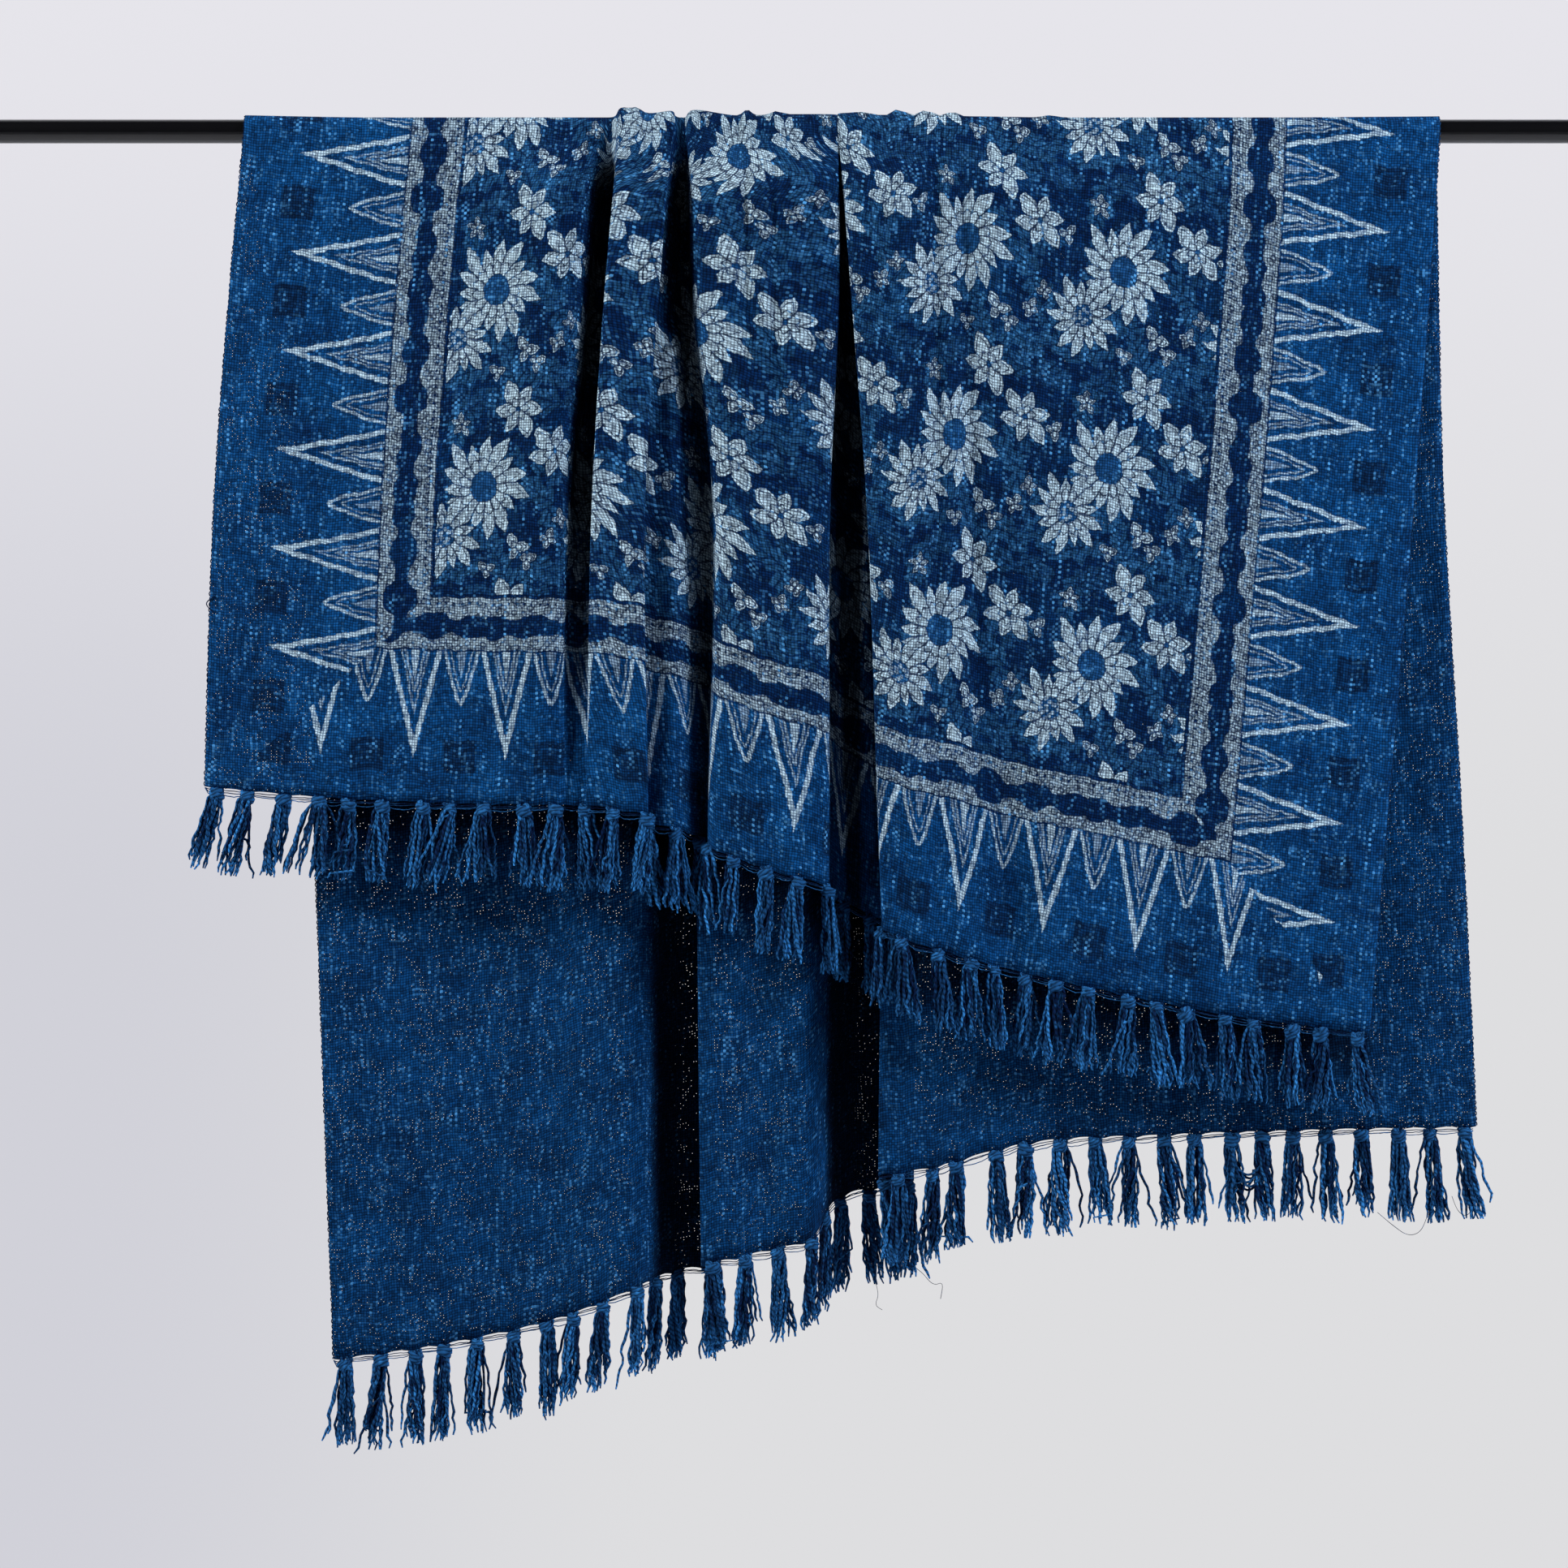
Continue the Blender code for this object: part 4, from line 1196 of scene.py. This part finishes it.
# Warp ends are gathered below each hem into a knot and hang from it in a tassel.
fringe = {
    "tassels": 42,
    "margin": 11,            # from a selvedge to the first tassel
    "jitter": 4,
    "yarns": 20,
    "yarnRadius": 1.3,
    "yarnSteps": 20,
    "fan": 6.5,              # half of what one knot gathers along the hem
    "neck": 5.4,             # half width of the bundle under its knot
    "spread": 9.8,           # and at its tips
    "wander": 6.5,
    "twist": 26,             # how fast the bundle turns, radians a metre
    "swing": 7,
    "knotTurns": 2.15,
    "knotRadius": 3.9,
    "knotHeight": 7.5,
    "knotYarn": 3.1,
    "knotDrop": 1.5,         # top of the knot's coil below the hem
    "knotTone": 0.62,        # how light its yarn is dyed, from 0 to 1
    "knotLumps": 3.5,        # how unevenly it bulges
    "knotSmallest": 0.88,    # of its size
    "knotLargest": 1.14,
    "shortest": 0.26,        # how much of its length the shortest yarn lacks
    "stray": 18,             # how far aside the wildest yarn stands
    "strayChance": 0.84,     # yarns below this share hang with the rest
    "sides": 5,              # of a yarn
    "knotSides": 8,
}
wanderWays = (2.4, 2.0, 0.3)  # yarns wander more aside than up and down

# Lean is (place along the hem, how far the tips hang aside); splayed names tassels by
# number and how much wider than the others they fall.
frontFringe = {
    "reach": 77, "seed": 11, "pull": 1.5, "lean": ((0, -15), (150, -11), (320, 0), (1270, 2)),
    "splayed": {3: 2.5, 17: 1.4, 33: 1.3},
}
backFringe = {
    "reach": 86, "seed": 23, "pull": 2.5, "lean": ((0, -6), (400, 0), (1270, 4)),
    "splayed": {8: 1.4, 29: 1.6},
}

# Weft threads left loose under the hem sag between the knots.
looseWefts = {
    "sags": (1.0, 3.0, 5.6),  # below the hem, one thread each
    "step": 3.0,
    "radius": 0.45,
}

# The weft turns round the outermost warp thread in small loops.
selvedge = {
    "loop": 5.0,             # from loop to loop
    "bulge": 1.4,
    "radius": 0.55,
}


# Threads that came loose: radius and points (x, y, z).
strays = {
    "curl at the right selvedge": (0.3, (
        (1366, 10, -770), (1375, 8, -767), (1386, 8, -772), (1390, 8, -783), (1388, 8, -795))),
    "tuft on the left selvedge": (0.5, (
        (238, -15, -430), (229, -15, -436), (233, -15, -442), (238, -15, -446))),
    "hair from the middle tassels": (0.25, (
        (874, 12, -1046), (889, 10, -1054), (900, 10, -1068), (910, 10, -1064), (907, 10, -1080))),
    "hair under the long tassels": (0.25, (
        (846, 12, -1062), (850, 10, -1076), (846, 10, -1086), (853, 8, -1090))),
    "long hair on the right": (0.25, (
        (1312, 12, -1000), (1326, 10, -1012), (1340, 10, -1022), (1352, 8, -1018), (1358, 8, -1002))),
    "hair at the right corner": (0.25, (
        (1381, 12, -985), (1386, 10, -999), (1394, 10, -1004), (1400, 10, -997))),
}

# Two tassels on the back are caught up in each other.
tangle = {"radius": 1.2, "from": (1177, 13, -940), "to": (1210, 13, -938), "deep": 36, "yarns": 5}


def rounded(points):
    # Cuts a line's corners until it runs in a curve.
    points = np.asarray(points, float)
    for _ in range(3):
        a, b = points[:-1], points[1:]
        inner = np.stack((0.75 * a + 0.25 * b, 0.25 * a + 0.75 * b), axis=1).reshape(-1, 3)
        points = np.vstack((points[:1], inner[1:-1], points[-1:]))
    return points


def tangleLines():
    lines = []
    a, b = np.array(tangle["from"], float), np.array(tangle["to"], float)
    for number in range(tangle["yarns"]):
        shift = np.array([2.2 * math.sin(2.4 * number), 2.0 * math.cos(2.4 * number), 0.0])
        deep = tangle["deep"] * (1 - 0.09 * number)
        low = (a + b) / 2 + shift - (0, 0, deep * 1.25)
        lines.append(rounded((a + shift, a * 0.9 + b * 0.1 + shift - (0, 0, deep * 0.8), low,
                              a * 0.1 + b * 0.9 + shift - (0, 0, deep * 0.7), b + shift)))
    return lines


def tasselPlaces(hemWidth, seed):
    # Places along the hem, from the left selvedge, as shares of its length.
    rng = np.random.default_rng(seed)
    places = np.linspace(fringe["margin"], cloth["width"] - fringe["margin"], fringe["tassels"])
    places[1:-1] += rng.uniform(-fringe["jitter"], fringe["jitter"], fringe["tassels"] - 2)
    return places / cloth["width"] * hemWidth, rng


def makePoints(name, points, edges=(), **attributes):
    mesh = bpy.data.meshes.new(name)
    mesh.from_pydata((np.asarray(points) * mm).tolist(), list(edges), [])
    for key, values in attributes.items():
        values = np.asarray(values, np.float32)
        kind, field = ("FLOAT_VECTOR", "vector") if values.ndim == 2 else ("FLOAT", "value")
        mesh.attributes.new(key, kind, "POINT").data.foreach_set(field, values.ravel())
    obj = bpy.data.objects.new(name, mesh)
    bpy.context.scene.collection.objects.link(obj)
    return obj


def grow(obj, tree, inputs):
    # Runs a Geometry Nodes tree on an object and keeps the plain mesh that it makes.
    modifier = obj.modifiers.new(tree.name, "NODES")
    modifier.node_group = tree
    for item in tree.interface.items_tree:
        if item.in_out == "INPUT" and item.name in inputs:
            modifier[item.identifier] = inputs[item.name]
    obj.update_tag()
    bpy.context.view_layer.update()
    graph = bpy.context.evaluated_depsgraph_get()
    mesh = bpy.data.meshes.new_from_object(obj.evaluated_get(graph))
    obj.modifiers.remove(modifier)
    obj.data = mesh
    mesh.name = obj.name
    print(" ", obj.name, sum(len(face.vertices) - 2 for face in mesh.polygons), "triangles")
    return obj


def makeYarnTree():
    # Lays a round yarn along every line of edges, thicker at its slubs.
    ins = ("lines", "radius", "sides", "material")
    tree, given, add, chain = makeGroup("lay yarn", ins, ("laid",), "GeometryNodeTree")
    curves = add("MeshToCurve", given["lines"])[0]
    run = add("SplineParameter")["Length"]
    curves = add("StoreNamedAttribute", curves, None, "run", run)[0]
    place = add("InputPosition")[0]
    uneven = add("TexNoise", inputs={"Vector": place, "Scale": 90.0, "Detail": 1.0})[0]
    radius = chain(uneven, "MULTIPLY_ADD", 0.9, 0.55, "MULTIPLY", given["radius"])
    around = add("CurvePrimitiveCircle", inputs={"Resolution": given["sides"], "Radius": 1.0})[0]
    turn = add("InputIndex")[0]
    turn = chain(turn, "DIVIDE", given["sides"])
    around = add("StoreNamedAttribute", around, None, "around", turn)[0]
    mesh = chain(curves, "CurveToMesh", around, radius, True)
    mesh = chain(mesh, "SetShadeSmooth", "RealizeInstances", "SetMaterial", None, given["material"])
    add("NodeGroupOutput", mesh)
    return tree


def makeTasselTree():
    # A knot and its hanging yarns on every point. Lengths are metres. The points
    # carry along, the hem's way; swing, where the tips hang; and reach.
    ins = ("roots", "yarns", "yarnSteps", "yarnRadius", "fan", "neck", "spread", "wander", "twist",
           "knotTurns", "knotRadius", "knotHeight", "knotYarn", "knotDrop", "seed", "material")
    tree, given, add, chain = makeGroup("knotted tassels", ins, ("tassels",), "GeometryNodeTree")
    place = add("InputPosition")[0]
    index = add("InputIndex")[0]
    roots = add("StoreNamedAttribute", given["roots"], None, "root", place, data_type="FLOAT_VECTOR")[0]
    roots = add("StoreNamedAttribute", roots, None, "tassel", index)[0]
    many = add("DuplicateElements", domain="POINT", inputs={"Geometry": roots, "Amount": given["yarns"]})
    starts = add("StoreNamedAttribute", many[0], None, "yarn", many["Duplicate Index"])[0]
    line = add("CurvePrimitiveLine", inputs={"End": (0, 0, -1)})[0]
    line = chain(line, "ResampleCurve", None, given["yarnSteps"])
    yarns = chain(starts, "InstanceOnPoints", None, line, "RealizeInstances")
    share = add("SplineParameter")["Factor"]
    yarn, tassel, reach, splay, root, along, swing = (
        add("InputNamedAttribute", name, data_type=kind)[0]
        for kind, names in (("FLOAT", ("yarn", "tassel", "reach", "splay")),
                            ("FLOAT_VECTOR", ("root", "along", "swing")))
        for name in names
    )
    # Three chances of its own for each yarn
    ident = chain(tassel, "MULTIPLY_ADD", 37.0, yarn)
    chances = []
    for step in range(3):
        seed = chain(given["seed"], "ADD", step * 101.0)
        chances.append(add("RandomValue", inputs={"ID": ident, "Seed": seed})[1])
    # How far down each point of the yarn lies
    length = chain(
        chances[0], "MULTIPLY", chances[0], "MULTIPLY_ADD", -fringe["shortest"], 1.0, "MULTIPLY", reach,
    )
    drop = chain(share, "POWER", 1.25, "MULTIPLY", length)
    # From its place on the hem into the knot, and out again into the bundle
    knotEnd = chain(given["knotDrop"], "ADD", given["knotHeight"])
    gathered = chain(drop, "clamped DIVIDE", knotEnd)
    fan = chain(1.0, "SUBTRACT", gathered, "POWER", 1.6, "MULTIPLY", given["fan"])
    fan = chain(yarn, "DIVIDE", given["yarns"], "MULTIPLY_ADD", 2.0, -0.94, "MULTIPLY", fan)
    loose = chain(drop, "clamped DIVIDE", reach, "POWER", 0.6)
    tips = chain(given["spread"], "MULTIPLY", splay)
    wide = chain(loose, "MapRange", 0.0, 1.0, given["neck"], tips, "MULTIPLY", gathered)
    ring = chain(yarn, "ADD", 0.6, "clamped DIVIDE", given["yarns"], "SQRT", "MULTIPLY", wide)
    turn = chain(tassel, "MULTIPLY", 1.7)
    turn = chain(yarn, "MULTIPLY_ADD", 2.4, turn)
    turn = chain(chances[1], "MULTIPLY_ADD", 0.9, turn)
    turn = chain(tassel, "MULTIPLY", 2.1, "SINE", "MULTIPLY", given["twist"], "MULTIPLY_ADD", drop, turn)
    cosine = chain(turn, "COSINE")
    sine = chain(turn, "SINE")
    aside = chain(ring, "MULTIPLY_ADD", cosine, fan)
    outward = chain(ring, "MULTIPLY", sine, "MULTIPLY", 0.75)
    # A few yarns stray to one side.
    strayRange = (fringe["strayChance"], 1.0, 0.0, fringe["stray"] * mm)
    stray = chain(chances[2], "MapRange", *strayRange)
    stray = chain(cosine, "SIGN", "MULTIPLY", stray)
    bent = chain(loose, "POWER", 1.7)
    aside = chain(stray, "MULTIPLY_ADD", bent, aside)
    out = chain(along, "VectorMath CROSS_PRODUCT", (0, 0, 1))
    spot = add("CombineXYZ", 0.0, 0.0, chain(drop, "MULTIPLY", -1.0))[0]
    spot = chain(spot, "VectorMath ADD", root)
    for way, much in ((along, aside), (out, outward), (swing, bent)):
        spot = chain(way, "VectorMath SCALE", None, None, much, "VectorMath ADD", spot)
    # Each yarn wanders on its own way down.
    noiseAt = add("CombineXYZ", ident, chain(drop, "MULTIPLY", 75.0))[0]
    noise = add("TexNoise", inputs={"Vector": noiseAt, "Scale": 1.0, "Detail": 2.0})[1]
    noise = chain(noise, "VectorMath SUBTRACT", noiseMiddle)
    much = chain(bent, "MULTIPLY_ADD", 0.6, 0.4, "MULTIPLY", gathered, "MULTIPLY", given["wander"])
    spot = chain(
        noise, "VectorMath SCALE", None, None, much, "VectorMath MULTIPLY", wanderWays,
        "VectorMath ADD", spot,
    )
    for name, value in (("yarnTone", chances[1]), ("tip", share)):
        yarns = add("StoreNamedAttribute", yarns, None, name, value)[0]
    yarns = chain(yarns, "SetPosition", None, spot)
    run = add("SplineParameter")["Length"]
    yarns = add("StoreNamedAttribute", yarns, None, "run", run)[0]
    slub = add("TexNoise", inputs={"Vector": noiseAt, "Scale": 0.7, "Detail": 1.0})[0]
    slub = chain(slub, "MULTIPLY_ADD", 1.2, 0.4)
    radius = chain(
        share, "MapRange", 0.9, 1.0, 1.0, 0.55, "MULTIPLY", slub, "MULTIPLY", given["yarnRadius"],
    )
    circle = add("CurvePrimitiveCircle", inputs={"Resolution": fringe["sides"], "Radius": 1.0})[0]
    around = add("InputIndex")[0]
    around = chain(around, "MULTIPLY", 1 / fringe["sides"])
    circle = add("StoreNamedAttribute", circle, None, "around", around)[0]
    yarns = chain(yarns, "CurveToMesh", circle, radius, True)
    # The knot is a short coil of the whole bundle.
    coil = add("CurveSpiral", inputs={
        "Resolution": 9, "Rotations": given["knotTurns"], "Start Radius": given["knotRadius"],
        "End Radius": given["knotRadius"], "Height": given["knotHeight"]})[0]
    run = add("SplineParameter")["Length"]
    coil = add("StoreNamedAttribute", coil, None, "run", run)[0]
    circle = add("CurvePrimitiveCircle", inputs={
        "Resolution": fringe["knotSides"], "Radius": given["knotYarn"]})[0]
    around = chain(add("InputIndex")[0], "MULTIPLY", 0.5)
    circle = add("StoreNamedAttribute", circle, None, "around", around)[0]
    coil = chain(coil, "CurveToMesh", circle, None, True)
    lower = chain(knotEnd, "MULTIPLY", -1.0)
    lower = add("CombineXYZ", 0.0, 0.0, lower)[0]
    heads = chain(roots, "SetPosition", None, None, lower)
    tilt = add("RandomValue", data_type="FLOAT_VECTOR", inputs={
        "Min": (-0.45, -0.4, 0.0), "Max": (0.45, 0.4, 6.28), "Seed": given["seed"]})[0]
    size = add("RandomValue", inputs={
        2: fringe["knotSmallest"], 3: fringe["knotLargest"], "Seed": given["seed"]})[1]
    size = add("CombineXYZ", size, size, size)[0]
    knots = add("InstanceOnPoints", inputs={
        "Points": heads, "Instance": coil, "Rotation": tilt, "Scale": size})[0]
    lumps = add("TexNoise", inputs={"Vector": place, "Scale": 320.0, "Detail": 1.0})[1]
    lumps = chain(
        lumps, "VectorMath SUBTRACT", noiseMiddle, "VectorMath MULTIPLY", 3 * (fringe["knotLumps"] * mm,)
    )
    knots = chain(knots, "RealizeInstances", "SetPosition", None, None, lumps)
    knots = add("StoreNamedAttribute", knots, None, "yarnTone", fringe["knotTone"])[0]
    both = add("JoinGeometry", yarns)[0]
    tree.links.new(knots, both.node.inputs[0])
    both = chain(both, "SetShadeSmooth", "RealizeInstances", "SetMaterial", None, given["material"])
    add("NodeGroupOutput", both)
    return tree


def makeFringe(name, hem, settings, tree, material):
    # hem: points of the cloth's end, from selvedge to selvedge.
    hemRun = runOf(hem)
    places, rng = tasselPlaces(hemRun[-1], settings["seed"])
    roots, before, after = (pointsOn(hem, hemRun, places + aside) for aside in (0, -6, 6))
    along = after - before
    along /= np.linalg.norm(along, axis=1)[:, None]
    count = len(places)
    swing = np.zeros((count, 3))
    swing[:, 0] = np.interp(places, *zip(*settings["lean"])) + rng.uniform(-1, 1, count) * fringe["swing"]
    swing[:, 1] = rng.uniform(-1, 1, count) * 2
    reach = settings["reach"] * rng.uniform(0.93, 1.05, count)
    splay = np.ones(count)
    for number, wider in settings["splayed"].items():
        splay[number] = wider
    obj = makePoints(name, roots, along=along, swing=swing * mm, reach=reach * mm, splay=splay)
    plain = ("yarns", "yarnSteps", "twist", "knotTurns")
    inputs = {name: value if name in plain else value * mm for name, value in fringe.items()}
    return grow(obj, tree, dict(inputs, seed=settings["seed"], material=material))


# Colours and surface of every yarn
yarnLook = {
    "deep": "#021A40",
    "pale": "#3586D2",
    "frayed": (0.82, 1.0, 0.0, 0.35),   # share of the length from and to, paler by
    "slubs": (0.55, 0.75, 0.0, 0.4),    # noise from and to, paler by
    "turns": 200.0,          # of the plies, to a metre
    "groove": (0.05, 0.35, 0.3, 1.15),  # ply's height from and to, lightness from and to: painted shade in the grooves
    "bump": 0.6,
    "bumpHeight": 0.8,
}


def makeYarnMaterial():
    # Two-ply indigo cotton yarn: matt, its plies as fine slanting lines of painted shade,
    # its frayed ends paler, and no two yarns dyed alike.
    material, add, chain = emptyMaterial("two-ply indigo cotton yarn")
    names = ("yarnTone", "tip", "run", "around")
    tone, tip, run, around = (add("Attribute", attribute_name=name)["Fac"] for name in names)
    ends = chain(tip, "MapRange", *yarnLook["frayed"])
    place = add("TexCoord")["Object"]
    slub = add("TexNoise", inputs={"Vector": place, "Scale": 130.0, "Detail": 1.0})[0]
    slub = chain(slub, "MapRange", *yarnLook["slubs"])
    light = chain(tone, "MULTIPLY", tone, "MULTIPLY_ADD", 0.75, ends, "clamped ADD", slub)
    colour = add("Mix", data_type="RGBA", inputs={
        0: light, 6: linear(yarnLook["deep"]), 7: linear(yarnLook["pale"])})[2]
    # Painted shade: the plies are darkened where they meet; their crests are a little lighter.
    ply = chain(run, "MULTIPLY_ADD", yarnLook["turns"], around, "PINGPONG", 0.5)
    groove = chain(ply, "MapRange", *yarnLook["groove"])
    groove = add("CombineXYZ", groove, groove, groove)[0]
    colour = add("Mix", data_type="RGBA", blend_type="MULTIPLY", inputs={0: 1.0, 6: colour, 7: groove})[2]
    deep = yarnLook["bumpHeight"] * mm
    bump = add("Bump", inputs={"Strength": yarnLook["bump"], "Distance": deep, "Height": ply})[0]
    surface = add("BsdfPrincipled", inputs={
        "Base Color": colour, "Roughness": 0.9, "Specular IOR Level": 0.08, "Normal": bump})
    add("OutputMaterial", surface[0])
    return material


def festoons(hem, settings):
    # Lines of the loose wefts: below the hem between knots, drawn up at each knot.
    hemRun = runOf(hem)
    places, rng = tasselPlaces(hemRun[-1], settings["seed"])
    marks = np.concatenate(([0.0], places, [hemRun[-1]]))
    lines = []
    for sag in looseWefts["sags"]:
        at = np.arange(0.0, hemRun[-1], looseWefts["step"])
        gap = np.clip(np.searchsorted(marks, at, side="right") - 1, 0, len(marks) - 2)
        share = (at - marks[gap]) / (marks[gap + 1] - marks[gap])
        deep = sag * rng.uniform(0.6, 1.25, len(marks))[gap]
        points = pointsOn(hem, hemRun, at)
        points[:, 2] -= 1.2 + deep * np.sin(np.pi * share) ** 0.8 + rng.uniform(-0.25, 0.25, len(at))
        points[:, 1] += rng.uniform(-0.4, 0.4, len(at))
        lines.append(points)
    return lines


def selvedgeLoops(edge, side):
    # A yarn along one selvedge that bulges a little at every turn of the weft.
    run = runOf(edge)
    at = np.arange(0.0, run[-1], selvedge["loop"] / 4)
    points = pointsOn(edge, run, at)
    rng = np.random.default_rng(5 + side)
    size = rng.uniform(0.3, 1.0, int(at[-1] / selvedge["loop"]) + 2)
    bulge = size[(at / selvedge["loop"]).astype(int)]
    wave = np.abs(np.sin(math.pi * at / selvedge["loop"]))
    points[:, 0] += side * (selvedge["bulge"] * bulge * wave - 0.3)
    return [points]


def layYarns(name, lines, radius, sides, tree, material):
    points = np.vstack(lines)
    edges, first = [], 0
    for line in lines:
        edges += [(first + i, first + i + 1) for i in range(len(line) - 1)]
        first += len(line)
    tones = np.concatenate([np.full(len(line), (0.37 * number) % 1.0) for number, line in enumerate(lines)])
    obj = makePoints(name, points, edges, yarnTone=tones)
    return grow(obj, tree, {"radius": radius * mm, "sides": sides, "material": material})


def makeRodMaterial():
    # Gloss black painted metal: one sharp streak of light along it.
    return plainMaterial("gloss black painted metal", {
        "Base Color": linear("#050508"), "Roughness": 0.22, "Coat Weight": 0.4, "Coat Roughness": 0.08})


print("camera, lights and stage")
makeCamera()
makeLights()
makeStage()
makeBoard()

print("cloth")
front, back = makeFlaps()
threads = chooseThreads(front, back)
grid = clothGrid(front, back, threads)
places = clothPlaces(grid, threads, front, back)
print("weave and print")
weaveGroup = makeWeaveGroup()
printed = makeClothMaterial(
    "block-printed indigo cotton", True, weaveGroup, makeFieldGroup(), makeBorderGroup()
)
plain = makeClothMaterial("plain indigo cotton reverse", False, weaveGroup)
sheet = makeSheet(grid, places, printed, plain)

print("fringes and loose yarns")
yarn = makeYarnMaterial()
tasselTree, yarnTree = makeTasselTree(), makeYarnTree()
frontTassels = makeFringe("front_tassels", grid[0], frontFringe, tasselTree, yarn)
backTassels = makeFringe("back_tassels", grid[-1], backFringe, tasselTree, yarn)
frontWefts = layYarns(
    "front_loose_wefts", festoons(grid[0], frontFringe), looseWefts["radius"], 5, yarnTree, yarn
)
backWefts = layYarns(
    "back_loose_wefts", festoons(grid[-1], backFringe), looseWefts["radius"], 5, yarnTree, yarn
)
loops = layYarns(
    "selvedge_loops", selvedgeLoops(grid[:, 0], -1) + selvedgeLoops(grid[:, -1], 1),
    selvedge["radius"], 4, yarnTree, yarn,
)
strayThreads = [
    layYarns(name.replace(" ", "_"), [rounded(points)], radius, 4, yarnTree, yarn)
    for name, (radius, points) in strays.items()
]
caught = layYarns("caught_tassels", tangleLines(), tangle["radius"], 5, yarnTree, yarn)
for piece, node in (
    (sheet, "blanket"), (frontTassels, "front_fringe"), (backTassels, "back_fringe"),
    (frontWefts, "front_fringe"), (backWefts, "back_fringe"), (loops, "blanket"),
    (caught, "back_fringe"), *((piece, "blanket") for piece in strayThreads),
):
    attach(piece, "root")
    if piece in (sheet, frontTassels, backTassels):
        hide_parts(node)

print("rod")
rod = bpy.data.objects["rod"]
rod.material_slots[0].link = "OBJECT"
rod.material_slots[0].material = makeRodMaterial()
